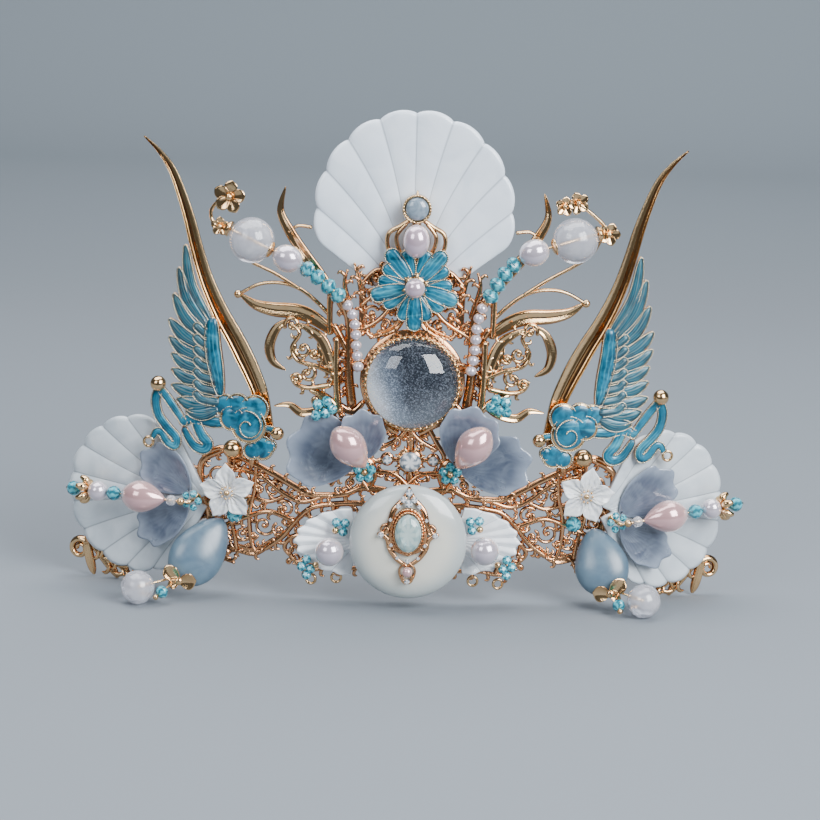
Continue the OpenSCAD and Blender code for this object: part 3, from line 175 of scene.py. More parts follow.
def oval(x, z, rx, rz):
    """Closed run of points round an ellipse."""
    turn = np.radians(np.linspace(0, 360, 61))
    return np.stack([x + rx * np.cos(turn), z + rz * np.sin(turn)], -1)


def ray(z, degrees, reaches):
    """Points at the given distances from (0, z), in one direction."""
    c, k = np.cos(np.radians(degrees)), np.sin(np.radians(degrees))
    return [[q * c, z + q * k] for q in reaches]


def rounded(path, w0, w1, belly):
    """Path, width and heading along a flat band. The width runs from w0 to w1 and swells by
    belly in the middle; three more stations round off each end."""
    share = np.linspace(0, 1, len(path))
    width = w0 + (w1 - w0) * share + belly * 4 * share * (1 - share)
    heading = unit(np.gradient(path, axis=0))
    out = np.radians([80, 52, 26])[:, None]
    path = np.vstack([path[0] - heading[0] * width[0] / 2 * np.sin(out), path,
                      path[-1] + heading[-1] * width[-1] / 2 * np.sin(out[::-1])])
    shrink = np.cos(out[:, 0])
    width = np.concatenate([width[0] * shrink, width, width[-1] * shrink[::-1]])
    heading = np.vstack([heading[:1].repeat(3, 0), heading, heading[-1:].repeat(3, 0)])
    return path, width, heading


def band(points, w0, w1, belly=0.0, back=0.0, rise=1.2, groove=0.0, crown=1.0, sides=12,
         per_span=8):
    """Cast band on a plane. Its section is a shallow back and a crowned face: height is rise
    times the sine to the power crown, less a trough that leaves a rolled rim on both sides. Its
    points are smoothed with per_span steps to a span, or taken as they are if that is 1."""
    path = smooth(points, per_span) if per_span > 1 else np.asarray(points, float)
    path, width, heading = rounded(path, w0, w1, belly)
    a = np.linspace(0, 2 * np.pi, sides, endpoint=False) + np.pi / sides
    face = np.abs(np.sin(a)) ** crown * (1 - groove * np.exp(-(np.cos(a) / 0.55) ** 4))
    height = np.where(np.sin(a) > 0, rise * face, 0.25 * np.sin(a))
    full = np.sqrt(width / width.max())
    aside = np.stack([-heading[:, 1], heading[:, 0]], -1)
    flat = path[:, None] + aside[:, None] * (width / 2)[:, None, None] * np.cos(a)[None, :, None]
    depth = back + height[None, :] * full[:, None]
    return skin(np.concatenate([flat, depth[..., None]], -1), across=np.cos(a))


def outline(points, w0, w1, belly, grow):
    """The edge of the band with the same sizes, as one run of points up one side, round the
    tip and down the other, pushed out by grow."""
    path, width, heading = rounded(smooth(points), w0, w1, belly)
    aside = np.stack([-heading[:, 1], heading[:, 0]], -1) * (width / 2 + grow)[:, None]
    return np.vstack([path[3:] + aside[3:], (path[3:] - aside[3:])[::-1]])


def cord(path, radius, sides=8):
    """Round wire along a path in space; radius is one number or one for each point. Its sides
    are counted from a direction that no wire here runs in."""
    path = np.asarray(path, float)
    heading = unit(np.gradient(path, axis=0))
    a = unit(np.cross([0.13, 0.21, 1.0], heading))
    b = np.cross(heading, a)
    turn = np.linspace(0, 2 * np.pi, sides, endpoint=False)[None, :, None]
    radius = np.broadcast_to(radius, len(path))[:, None, None]
    return skin(path[:, None] + radius * (a[:, None] * np.cos(turn) + b[:, None] * np.sin(turn)))


def beaded_edge(path, d, r=0.24, pitch=0.62):
    """Row of small beads along a flat path: a wire whose radius swells once in each pitch."""
    run = lengths(path)
    count = max(int(run[-1] / pitch), 2)
    at = np.linspace(0, run[-1], count * 4 + 1)
    flat = np.column_stack([np.interp(at, run, path[:, k]) for k in (0, 1)])
    swell = np.abs(np.sin(np.pi * np.linspace(0, count, count * 4 + 1)))
    return cord(lifted(flat, d), r * (0.62 + 0.38 * swell), 6)


def lathe(profile, at, axis=(0, 0, 1), sides=48, joined=False):
    """A profile of (radius, height) turned about an axis that starts at a point."""
    axis, a, b = square_to(axis)
    turn = np.linspace(0, 2 * np.pi, sides, endpoint=False)[:, None]
    circle = a * np.cos(turn) + b * np.sin(turn)
    r, h = np.asarray(profile, float).T
    rings = np.asarray(at, float) + r[:, None, None] * circle + h[:, None, None] * axis
    return skin(rings, joined=joined)


def ball(at, r, sides, long=1.0, axis=(0, 0, 1)):
    """Ball whose length along its axis is long times its width."""
    a = np.radians(np.linspace(4, 176, max(sides // 2, 5)))
    return lathe(np.stack([r * np.sin(a), -long * r * np.cos(a)], -1), at, axis, sides)


def ring(at, r0, r1, h, sides=64):
    """Flat ring between two radii, h thick, with its four edges eased."""
    e = 0.2 * min(r1 - r0, h)
    return lathe([(r0, e), (r0, h - e), (r0 + e, h), (r1 - e, h), (r1, h - e), (r1, e),
                  (r1 - e, 0), (r0 + e, 0)], at, sides=sides, joined=True)


def crystal(at, axis, r, half, sides=10):
    """Faceted bead: six rings of corners round its axis, every second ring turned by half a
    facet, so that most facets are triangles and kites."""
    axis, a, b = square_to(axis)
    rows = np.array([[0.42, -1, 0], [0.8, -0.66, 1], [1, -0.2, 0], [1, 0.2, 1], [0.8, 0.66, 0],
                     [0.42, 1, 1]])
    turn = 2 * np.pi * (np.arange(sides)[None, :, None] + 0.5 * rows[:, None, 2:]) / sides
    out = r * rows[:, None, :1] * (a * np.cos(turn) + b * np.sin(turn))
    return skin(np.asarray(at, float) + out + half * rows[:, None, 1:2] * axis,
                across=np.arange(sides) % 2)


def cut_stone(at, rx, ry, h, sides):
    """Cut stone facing the viewer: pointed foot, girdle, two rows of facets and a flat table.
    Every second row is turned by half a facet."""
    rows = np.array([[0.3, 0, 0], [0.75, 0.24, 0.5], [1, 0.44, 0], [1, 0.52, 0],
                     [0.86, 0.78, 0.5], [0.6, 1, 0]])
    turn = 2 * np.pi * (np.arange(sides)[None, :] + rows[:, 2:3]) / sides
    size = rows[:, :1]
    rings = np.stack([rx * size * np.cos(turn), ry * size * np.sin(turn),
                      h * rows[:, 1:2] + 0 * turn], -1)
    return skin(rings + np.asarray(at, float), across=np.arange(sides) % 2)


def two_faced(front, back):
    """Closed sheet between a front and a back grid of points, of the same size."""
    share = np.linspace(0, 1, front.shape[1])
    return skin(np.concatenate([front, back[:, ::-1]], axis=1),
                across=np.concatenate([share, share[::-1]]), sheet=True)


def turned(points, degrees):
    """Points turned about the axis that faces the viewer."""
    c, k = np.cos(np.radians(degrees)), np.sin(np.radians(degrees))
    x, y, d = np.moveaxis(points, -1, 0)
    return np.stack([c * x - k * y, k * x + c * y, d], -1)


def moved(surface, at, degrees=0.0):
    points, faces, along, across = surface
    return turned(points, degrees) + np.asarray(at, float), faces, along, across


def fan_shell(rx, ry, lobes, sweep, bow, rows):
    """Fan shell that opens upward from its narrow end at the origin. A point of the rim lies at
    angle turn on the ellipse rx, ry; toward the apex its x falls with the power bend of t, so
    that the middle ribs bow like a palm leaf. Between ribs the face swells by a sine."""
    n = lobes * PER_LOBE
    i = np.arange(n + 1)[None, :]
    t = np.linspace(0.1, 1, rows)[:, None]
    turn = np.radians(90 + sweep / 2 - sweep * i / n)
    swell = np.sin(np.pi * (i % PER_LOBE) / PER_LOBE) ** 0.7
    edge = 1 - 0.04 * (1 - swell)
    bend = bow + (1 - bow) * np.abs(2 * i / n - 1) ** 3
    x = edge * rx * np.cos(turn) * t**bend
    y = (edge * ry * np.sin(turn) + ry) * t
    eased = 0.35 * np.clip((t - 0.97) / 0.03, 0, 1) ** 2
    front = np.stack([x, y, SHELL_T - SHELL_RIB + SHELL_RIB * t * swell - eased], -1)
    back = np.stack([x, y, 0 * x + eased], -1)
    return two_faced(front, back)


def pleated_fan(reach, half_h, pleats, half_angle, fold, dish, thick):
    """Small fan that opens outward from its narrow end. Its pleats are a rounded zigzag whose
    height grows with the distance t from that end."""
    n = pleats * PER_LOBE
    i = np.arange(n + 1)[None, :]
    t = np.linspace(0.12, 1, 18)[:, None]
    a = np.radians(half_angle - 2 * half_angle * i / n)
    up = 0.5 - 0.5 * np.cos(2 * np.pi * pleats * i / n)
    x = reach * t * np.cos(a) * (1 - 0.05 * (1 - up))
    y = half_h * t * np.sin(a) / np.sin(np.radians(half_angle)) * (1 - 0.03 * (1 - up))
    front = np.stack([x, y, dish * t**2 + thick + fold * t * up], -1)
    back = np.stack([x, y, dish * t**2 + 0.4 * fold * t * up], -1)
    return two_faced(front, back)


def petal(length, width, cup, thick, rise, ruffle=0.0, lobes=0, turn=0.0, point=0.0, far=0.75,
          fine=1.0):
    """Cupped petal whose narrow end is at the origin. Its rim is an egg: at angle a it lies at
    length times (1/2 + cos(a) / 2) to the power far, and aside at half the width times sin(a).
    The sheet runs out to it along rays t. It rises with distance and, by cup, toward its sides.
    The rim has lobes waves, ruffle gives soft folds, and point draws the tip out. The number of
    rows and columns goes with fine."""
    v = np.linspace(-1, 1, 2 * int(32 * fine) + 1)[None, :]
    t = np.linspace(0.04, 1, int(28 * fine))[:, None]
    a = 0.97 * np.pi * v
    wave = np.cos(2 * np.pi * lobes * v + turn) if lobes else 0 * v
    out = (0.5 + 0.5 * np.cos(a)) ** far
    reach = 1 + 0.045 * wave * out * t**4
    x = t * (length * out + point * np.maximum(1 - 4 * np.abs(v), 0) ** 2) * reach
    y = -0.5 * t * width * np.sin(a) * reach
    fold = np.sin(3.1 * v + turn) + 0.15 * wave * t**4 * out
    far_off = np.hypot(x, y) / length
    z = rise * far_off**1.5 + cup * (2 * y / width) ** 2 + ruffle * fold * far_off
    body = thick * (1 - 0.6 * t**8)
    return two_faced(np.stack([x, y, z + body], -1), np.stack([x, y, z], -1))


class Piece:
    """Gathers closed surfaces, turns each one's faces outward and makes them one mesh. What is
    added stands on the plane that on named last."""

    def __init__(self, name, *finishes):
        self.name, self.finishes, self.place = name, finishes, None
        self.points, self.faces, self.marks, self.marked = [], [], [], []

    def on(self, place):
        self.place = place
        return self

    def add(self, surface, finish=0, flat=False):
        points, faces, along, across = surface
        points = self.place(points)
        thirds = np.vstack([faces[0][:, :3], faces[0][:, [0, 2, 3]], faces[1]])
        a, b, c = (points[thirds[:, k]] - points.mean(0) for k in range(3))
        outward = np.einsum("ij,ij->", a, np.cross(b, c)) > 0
        self.marks.append(np.stack([along, across], -1))
        start = sum(len(p) for p in self.points)
        for group in faces:
            group = (group if outward else group[:, ::-1]) + start
            self.faces.extend(group.tolist())
            self.marked.extend([(finish, not flat)] * len(group))
        self.points.append(points)
        return self

    def make(self, slot, node):
        mesh = bpy.data.meshes.new(self.name)
        mesh.from_pydata((np.vstack(self.points) * MM).tolist(), [], self.faces)
        finish, even = np.array(self.marked).T
        mesh.polygons.foreach_set("material_index", finish.astype(np.int32))
        mesh.polygons.foreach_set("use_smooth", even.astype(bool))
        for name, values in zip(("along", "across"), np.vstack(self.marks).T):
            mark = mesh.attributes.new(name, "FLOAT", "POINT")
            mark.data.foreach_set("value", values.astype(np.float32))
        for f in self.finishes:
            mesh.materials.append(f)
        mesh.update()
        piece = bpy.data.objects.new(self.name, mesh)
        bpy.context.scene.collection.objects.link(piece)
        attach(piece, "root")
        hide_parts(node)


# Finishes

class Value:
    """A number in a finish. Arithmetic on it adds Math nodes."""

    def __init__(self, finish, socket):
        self.finish, self.socket = finish, socket

    def math(self, operation, *terms):
        return self.finish.node("ShaderNodeMath", {"operation": operation},
                                dict(enumerate(terms)))

    def __add__(self, other):
        return self.math("ADD", self, other)

    def __sub__(self, other):
        return self.math("SUBTRACT", self, other)

    def __rsub__(self, other):
        return self.math("SUBTRACT", other, self)

    def __mul__(self, other):
        return self.math("MULTIPLY", self, other)

    __radd__, __rmul__ = __add__, __mul__

    def of(self, operation, *others):
        return self.math(operation, self, *others)

    def between(self, low, high):
        """0 below low, 1 above high, and an eased step from one to the other."""
        return self.finish.node(
            "ShaderNodeMapRange", {"interpolation_type": "SMOOTHSTEP"},
            {"Value": self, "From Min": low, "From Max": high})


class Finish:
    """One material, made node by node."""

    def __init__(self, name):
        self.material = bpy.data.materials.new(name)
        self.material.use_nodes = True
        self.tree = self.material.node_tree
        self.tree.nodes.clear()
        self.place = self.node("ShaderNodeTexCoord", out="Object")

    def node(self, kind, settings=None, sockets=None, out=0):
        made = self.tree.nodes.new(kind)
        for key, value in (settings or {}).items():
            setattr(made, key, value)
        for key, value in (sockets or {}).items():
            if isinstance(value, Value):
                self.tree.links.new(value.socket, made.inputs[key])
            else:
                made.inputs[key].default_value = value
        return Value(self, made.outputs[out])

    def mark(self, name):
        return self.node("ShaderNodeAttribute", {"attribute_name": name}, out="Fac")

    def noise(self, scale, detail, twist=0.0, vector=None):
        return self.node("ShaderNodeTexNoise", None, {
            "Vector": vector or self.place, "Scale": scale, "Detail": detail, "Distortion": twist})

    def stretched(self, x, y, z):
        return self.node("ShaderNodeMapping", None, {"Vector": self.place, "Scale": (x, y, z)})

    def part(self, vector, letter):
        """One coordinate of a vector."""
        return self.node("ShaderNodeSeparateXYZ", None, {0: vector}, out=letter)

    def blend(self, factor, a, b):
        """Colour a where factor is 0 and b where it is 1."""
        pair = [c if isinstance(c, Value) else (*c, 1) for c in (a, b)]
        return self.node("ShaderNodeMix", {"data_type": "RGBA"},
                         {0: factor, 6: pair[0], 7: pair[1]}, out=2)

    def bump(self, height, strength):
        return self.node("ShaderNodeBump", None,
                         {"Height": height, "Strength": strength, "Distance": 0.3 * MM})

    def done(self, colour, **sockets):
        named = {key.replace("_", " "): value for key, value in sockets.items()}
        shader = self.node("ShaderNodeBsdfPrincipled", None, {"Base Color": colour, **named})
        end = self.tree.nodes.new("ShaderNodeOutputMaterial")
        self.tree.links.new(shader.socket, end.inputs["Surface"])
        return self.material


def gold_finish(name, light, deep, rough):
    """Polished gold plate: deeper and redder down the sides of each band, a painted shade for the
    hollows between bands, and faintly uneven.
    """
    f = Finish(name)
    # The deep colour down each band's sides is painted shade.
    painted_shade_flank = f.mark("across").of("ABSOLUTE").between(0.5, 1)
    cloud = f.noise(260, 4)
    fine = f.noise(2600, 2)
    tint = painted_shade_flank * 0.75 + cloud.between(0.35, 0.75) * 0.25
    return f.done(f.blend(tint, light, deep), Metallic=1.0,
                  Roughness=rough + cloud * 0.12, Normal=f.bump(fine, 0.12))


def shell_finish(name, lobes, light, shade):
    """Mother of pearl: pale growth bands over the fan, and a fine engraved line at each rib whose
    darker colour is painted shade in the groove.
    """
    f = Finish(name)
    along, across = f.mark("along"), f.mark("across")
    cloud = f.noise(90, 5, 1.2)
    grain = f.noise(900, 3)
    near = ((across * lobes + 0.5).of("FRACT") - 0.5).of("ABSOLUTE")
    line = (1 - near.between(0.0, 0.05)) * along.between(0.12, 0.3)
    growth = (along * 34 + cloud * 9).of("SINE") * 0.5 + 0.5
    veil = cloud.between(0.35, 0.8) * 0.55 + growth * 0.16
    face = f.blend(veil, light, shade)
    # The rib lines take a darker colour: painted shade in the engraved grooves.
    colour = f.blend(line * 0.75, face, [0.6 * c for c in shade])
    height = (1 - line) * 0.8 + grain * 0.12 + growth * 0.1
    return f.done(colour, Roughness=0.26 + cloud * 0.16, Coat_Weight=0.5,
                  Subsurface_Weight=0.12, Subsurface_Radius=(0.003, 0.003, 0.003),
                  Normal=f.bump(height, 0.35))


def enamel_finish(name, barbs=0.0):
    """Turquoise enamel with pearly clouds in it. On feathers, fine slanted lines run out from
    the quill along both marks, where the gold shows through."""
    f = Finish(name)
    cloud = f.noise(150, 5, 2.0)
    streak = f.noise(60, 4, 1.5, f.stretched(1, 1, 3))
    deep, middle, pale = (0.002, 0.055, 0.10), (0.004, 0.165, 0.27), (0.09, 0.45, 0.58)
    if barbs:
        deep, middle, pale = (0.002, 0.035, 0.06), (0.005, 0.09, 0.14), (0.02, 0.19, 0.25)
    colour = f.blend(cloud.between(0.3, 0.62), deep, middle)
    fibre = (f.mark("across") * 11 + f.noise(330, 3) * 7).of("SINE").between(0.1, 1)
    fibre = fibre * streak.between(0.3, 0.6)
    colour = f.blend(streak.between(0.52, 0.78) * 0.6 + fibre * 0.4, colour, pale)
    root = 1 - f.mark("along").between(0, 0.45)
    colour = f.blend(root * 0.55, colour, deep)
    height, shine = cloud * 0.4 + fibre * 0.3, 0.2
    if barbs:
        wave = (f.mark("along") * barbs - f.mark("across").of("ABSOLUTE") * 2.8).of("FRACT")
        line = (wave - 0.5).of("ABSOLUTE").between(0.34, 0.47)
        quill = 1 - f.mark("across").of("ABSOLUTE").between(0.04, 0.12)
        gilt = line.of("MAXIMUM", quill)
        colour = f.blend(gilt * 0.4, colour, (0.34, 0.44, 0.42))
        height, shine = height + gilt * 0.5, 0.15 + gilt * 0.45
    return f.done(colour, Metallic=shine, Roughness=0.26 + cloud * 0.12, Coat_Weight=0.4,
                  Normal=f.bump(height, 0.25))


def pearl_finish(name, light, shade):
    """Pearl: a soft body, duskier where it faces the eye and paler to the edge, a painted sheen,
    under a clear coat."""
    f = Finish(name)
    cloud = f.noise(120, 3)
    rim = f.node("ShaderNodeLayerWeight", None, {"Blend": 0.35}, out="Facing")
    # Paler where the surface turns away from the camera: a painted sheen.
    colour = f.blend(rim.between(0.12, 0.7) + cloud * 0.15, shade, light)
    return f.done(colour, Metallic=0.45, Roughness=0.14 + cloud * 0.06, Coat_Weight=1.0,
                  Coat_Roughness=0.03, IOR=1.6)


def stone_finish(name, light, shade, clear, rough, scale, milk, facets=0):
    """Clouded stone or glass: light and shade drift through it, clear is how far it is seen
    through, and milk how much light it scatters. On a cut stone, facets is how far the tone
    swings from one corner of a facet to the next, as light inside it does."""
    f = Finish(name)
    cloud = f.noise(scale, 5, 1.6)
    vein = f.noise(scale * 0.5, 6, 3.0)
    tint = cloud.between(0.3, 0.7) * 0.7 + vein.between(0.5, 0.75) * 0.3
    if facets:
        tint = tint * (1 - facets) + f.mark("across").between(0.25, 0.75) * facets
    return f.done(f.blend(tint, light, shade), Roughness=rough + cloud * 0.06, Coat_Weight=0.5,
                  Coat_Roughness=0.03 + rough * 0.8, IOR=1.5, Transmission_Weight=clear,
                  Subsurface_Weight=milk, Subsurface_Radius=(0.004, 0.004, 0.004))


def petal_finish(name, light, shade, edge, veins=120, relief=0.25):
    """Shell petal: veins that fan out from the root, a paler rim and cloudy nacre."""
    f = Finish(name)
    along, across = f.mark("along"), f.mark("across")
    cloud = f.noise(110, 5, 2.5)
    vein = (across * veins + cloud * 7).of("SINE") * 0.5 + 0.5
    swirl = (along * 20 + cloud * 11).of("SINE") * 0.5 + 0.5
    rim = along.between(0.72, 1).of("MAXIMUM", (across - 0.5).of("ABSOLUTE").between(0.38, 0.5))
    tint = cloud.between(0.3, 0.72) * 0.65 + vein * 0.15 + swirl * 0.2
    colour = f.blend(rim * 0.5, f.blend(tint, light, shade), edge)
    return f.done(colour, Roughness=0.24 + cloud * 0.1, Coat_Weight=0.7,
                  Transmission_Weight=0.12, Subsurface_Weight=0.2,
                  Subsurface_Radius=(0.003, 0.003, 0.004),
                  Normal=f.bump(vein * relief + swirl * 0.3 + cloud, max(0.25, relief)))


def disc_finish():
    """Cream jade: palest in its middle, clearer and greyer toward the rim."""
    f = Finish("cream_jade")
    centred = f.node("ShaderNodeVectorMath", {"operation": "ADD"},
                     {0: f.place, 1: (-AXIS_X * MM, 0, -DISC_Z * MM)})
    flat = f.node("ShaderNodeVectorMath", {"operation": "MULTIPLY"}, {0: centred, 1: (1, 0, 1)})
    far = f.node("ShaderNodeVectorMath", {"operation": "LENGTH"}, {0: flat}, out="Value")
    cloud = f.noise(70, 4, 1.0)
    edge = (far + cloud * 2 * MM).between(11.5 * MM, 18.2 * MM)
    colour = f.blend(edge, (0.80, 0.79, 0.70), (0.55, 0.60, 0.60))
    colour = f.blend(cloud.between(0.5, 0.8) * 0.3, colour, (0.87, 0.86, 0.80))
    return f.done(colour, Roughness=0.2 + cloud * 0.08, Coat_Weight=0.6,
                  Transmission_Weight=0.25, Subsurface_Weight=0.35,
                  Subsurface_Radius=(0.006, 0.006, 0.005))


def foil_finish():
    """Silvery foil under the dome, grained all over with fine glitter. Its light and shade are
    painted: bright on its left where the dome gathers the light, darkest right of the middle and
    grey below, and white at its far left edge. It glows a little, a painted glow for the light that
    the dome gathers. Its shades go by the distance x and z from the dome's middle."""
    f = Finish("dome_foil")
    cells = f.node("ShaderNodeTexVoronoi", None, {"Vector": f.place, "Scale": 4400.0}, out="Color")
    grain = f.part(cells, "X").between(0.5, 1)
    x, z = f.part(f.place, "X"), f.part(f.place, "Z") - DOME_Z * MM
    drift = f.noise(160, 4) * 6 * MM
    # left and low paint the light that the dome gathers on its left, and the shade right of the
    # middle and below.
    left = 1 - (x + drift + z * 0.35).between(-9.5 * MM, 3.5 * MM)
    low = 1 - (z - x * 0.3 + drift).between(-12 * MM, 2 * MM)
    colour = f.blend(low * 0.85, (0.008, 0.012, 0.022), (0.11, 0.13, 0.16))
    colour = f.blend(left * (grain * 0.6 + 0.4), colour, (0.50, 0.62, 0.80))
    # edge is painted light, white at the far left rim.
    edge = 1 - (x + drift * 0.5 + z * 0.3).between(-12 * MM, -4 * MM)
    colour = f.blend(edge * (grain * 0.3 + 0.7), colour, (0.95, 0.98, 1.0))
    colour = f.blend(grain * 0.24, colour, (0.60, 0.68, 0.80))
    # The emission is a painted glow.
    return f.done(colour, Metallic=0.2, Roughness=0.35, Emission_Color=colour,
                  Emission_Strength=0.5)


def clear_finish(name, tint):
    """Clear glass or crystal, with the faintest haze in it."""
    f = Finish(name)
    haze = f.noise(300, 3)
    return f.done(f.blend(haze, tint, [min(1, c * 1.04) for c in tint]), Roughness=0.02,
                  IOR=1.5, Transmission_Weight=1.0, Coat_Weight=0.3)


gold = gold_finish("champagne_gold", (0.78, 0.52, 0.27), (0.40, 0.16, 0.045), 0.07)
rose = gold_finish("rose_gold", (0.74, 0.40, 0.20), (0.24, 0.075, 0.022), 0.08)
shell = shell_finish("white_fan_shell", 10, (0.77, 0.84, 0.92), (0.60, 0.68, 0.78))
# The side shells are greyer than the top shell: partly painted shade, partly their translucency.
side_fan_translucent_and_shaded = shell_finish("white_side_shell", 11, (0.60, 0.65, 0.69), (0.38, 0.44, 0.49))
pleat = shell_finish("pleated_shell", 9, (0.94, 0.97, 1.0), (0.80, 0.87, 0.94))
flower_white = petal_finish("white_shell_petal", (0.86, 0.87, 0.87), (0.74, 0.77, 0.80),
                            (0.92, 0.93, 0.93), veins=44, relief=0.9)
enamel = enamel_finish("turquoise_enamel")
feather = enamel_finish("feather_enamel", barbs=2.0)
white_pearl = pearl_finish("white_pearl", (0.84, 0.78, 0.79), (0.56, 0.50, 0.58))
pink_pearl = pearl_finish("pink_pearl", (0.86, 0.58, 0.54), (0.62, 0.36, 0.37))
blush_pearl = pearl_finish("blush_pearl", (0.86, 0.70, 0.71), (0.60, 0.46, 0.55))
teal = stone_finish("teal_glass", (0.14, 0.64, 0.76), (0.003, 0.13, 0.20), clear=0.35, rough=0,
                    scale=240, milk=0, facets=0.8)
pale_gilt = gold_finish("pale_gilt", (0.54, 0.49, 0.37), (0.24, 0.20, 0.13), 0.14)
brilliant = stone_finish("cut_crystal", (0.97, 0.98, 1.0), (0.16, 0.23, 0.29), clear=0.4,
                         rough=0, scale=500, milk=0, facets=0.85)
violet = petal_finish("violet_petal", (0.155, 0.19, 0.25), (0.07, 0.09, 0.14),
                      (0.36, 0.42, 0.52))
quartz = stone_finish("white_quartz", (0.90, 0.89, 0.93), (0.72, 0.72, 0.80), clear=0.7,
                      rough=0.1, scale=140, milk=0)
aqua = stone_finish("clouded_aqua", (0.15, 0.235, 0.31), (0.09, 0.155, 0.225), clear=0.3,
                    rough=0.3, scale=120, milk=0.3)
grey_stone = stone_finish("grey_blue_stone", (0.20, 0.27, 0.34), (0.38, 0.46, 0.54), clear=0.2,
                          rough=0.08, scale=300, milk=0.3)
pale_stone = stone_finish("pale_aqua_stone", (0.74, 0.88, 0.85), (0.34, 0.54, 0.56), clear=0.5,
                          rough=0.02, scale=260, milk=0, facets=0.6)
clear = clear_finish("clear_crystal", (0.93, 0.95, 0.97))
jade = disc_finish()
foil = foil_finish()


# Gold scrollwork. Rows of (start width, end width, belly, points), for one half of each panel.
CENTER_ROWS = [
    (2.2, 0.5, 1.2, [[15.2, 86], [15, 92], [15.6, 99], [18, 107.6]]),
    (1.6, 0.6, 0.5, [[18.4, 92], [20.3, 98], [21, 102], [20.2, 105.5]]),
    (3.4, 2.6, 0, [[18, 64], [19, 72], [19.2, 80], [19.4, 90], [22.6, 97.6]]),
    (2, 2, 0, [[19.5, 92], [22, 94.4], [23.7, 98.2]]),
    (2.4, 2.6, 0, [[18.5, 78], [21, 83], [23.6, 87.6]]),
    (1.6, 1.6, 0, [[5, 97], [10, 90.5], [18, 85.5]]),
    (1.4, 1.4, 0, [[5.6, 104], [11, 106], [15.4, 102]]),
    (1.4, 1.4, 0, [[5, 100], [11, 98.5], [15.4, 95]]),
    (1.8, 1.2, 1, [[2, 94], [5, 88], [12.5, 84.8]]),
    (1.8, 1.6, 0.8, [[14.5, 64], [18, 61], [23.6, 64.5]]),
    (1.8, 1.6, 0, [[15, 77], [18, 76], [23.6, 72.6]]),
    (2.2, 2, 0.6, [[4, 55], [9, 58], [16, 60]]),
    (1.8, 1.6, 0, [[6, 57], [9, 51.5], [11.4, 47], [10, 41], [12, 36]]),
    (1.6, 1.6, 0, [[0, 56.5], [3.5, 52.5], [8.6, 49.6]]),
    (1.6, 1.6, 0, [[0, 38], [4, 41.4], [10, 42]]),
    (2.4, 2.2, 0, [[7, 36], [14, 36.6], [19, 34.6], [23.7, 33.8]]),
    (2, 2, 0, [[9, 31], [16, 31.6], [23.7, 31]]),
    (1.4, 1.4, 0, [[12, 36], [15.5, 40.5], [21, 40.6], [23.7, 37.4]]),
    (2, 2, 0, [[11, 20.6], [18, 20.4], [23.7, 20.4]]),
    (1.8, 1.2, 0, [[9, 13], [15, 10.6], [20, 10.4], [23.7, 10.4]]),
    (1.6, 1.6, 0, [[23, 10.4], [22.4, 20.4], [23, 31]])]

# Rows of (x, z, outer radius, start angle, turn)
CENTER_CURLS = [
    (11.4, 103.2, 2.2, -60, 400), (12.6, 92.4, 2.4, 150, -420), (8.4, 94.6, 2.0, 20, 380),
    (12.6, 98.6, 1.9, 250, -400), (8.2, 88.6, 1.9, 100, 400), (17, 88, 1.8, 60, 380),
    (20.4, 68.4, 2.6, 180, -420), (21, 79.2, 2.1, 200, 400), (17.4, 57.6, 2.4, 90, 420),
    (4.2, 51.4, 2.2, 40, 400), (4.4, 41, 2.1, 10, -400), (17.6, 38.2, 2.1, 200, 400),
    (18, 27.4, 3.6, 90, 420), (17.6, 15.4, 4, 90, -420), (21.2, 59.6, 2.4, 110, -420)]

SIDE_ROWS = [
    (2.2, 1.8, 0.4, [[0.4, 33.8], [6, 33.6], [11.1, 35.7], [18.3, 39.4], [26.6, 43],
                     [34.9, 46.7], [41.1, 43.9]]),
    (1.6, 1.4, 0.4, [[3, 33], [9, 31.2], [15, 33.4], [21, 37.8], [27, 40], [34, 41.4]]),
    (2, 1.8, 0, [[0.4, 31], [6, 29.4], [11, 24.6], [15, 19.5], [20.3, 15.2]]),
    (1.8, 1, 1.6, [[18, 18], [24, 13.6], [31, 14.4], [34.5, 11.6], [31, 9.6]]),
    (2, 2.4, 0.6, [[35, 46], [41.5, 42], [42, 34], [39.6, 26], [36.5, 17], [33, 13]]),
    (1.8, 1.8, 0, [[12, 25], [20, 27.2], [28, 24.4], [37, 20]]),
    (1.6, 1.6, 0, [[14, 33], [20, 30.4], [27, 31.4], [34, 28.6], [40, 29]]),
    (1.6, 1.6, 0, [[24, 41.4], [24.4, 34], [26, 26], [25.4, 18], [24, 14]]),
    (1.6, 1.6, 0, [[33, 45], [32.2, 37], [33, 28], [31, 20], [30, 14.6]]),
    (1.4, 1, 0.6, [[0.4, 20.4], [6, 20.2], [11.8, 19.6], [14.4, 15.6], [10.4, 11.6]]),
    (1.4, 1.4, 0, [[0.4, 10.4], [5, 9.3], [9, 9.8], [12.6, 14]]),
    (1.4, 1.4, 0, [[4.5, 9.6], [6, 15], [5, 21], [7, 29]]),
    (3, 4, 0, [[38, 30], [41.5, 26.2], [TAIL_U - 1, 23.6]]),
    (2.4, 3, 0, [[25.6, 41.8], [24.6, 47], [21.4, 50], [20.8, 54.4]])]

SIDE_CURLS = [
    (18.4, 34.4, 3.0, 150, -430), (21.2, 22.6, 3.4, 200, 430), (28.8, 36.6, 3.5, 60, 430),
    (36.7, 37.4, 3.8, 200, -430), (29.2, 28.2, 3.0, 90, -430), (36.4, 25.4, 2.6, 60, 430),
    (28.2, 19.4, 2.9, 150, 430), (34.2, 16.8, 2.3, 180, -400), (14.4, 28.4, 2.9, 40, 430),
    (9, 34.2, 2.0, 190, -400), (16.4, 21.4, 2.1, 60, -400), (22.4, 38.2, 2.2, 180, 400),
    (9.2, 16.6, 2.9, 90, 420), (3, 25.2, 3.0, 200, 430), (2.9, 15.2, 2.9, 0, 430),
    (29.8, 42.2, 2.0, 200, 400)]

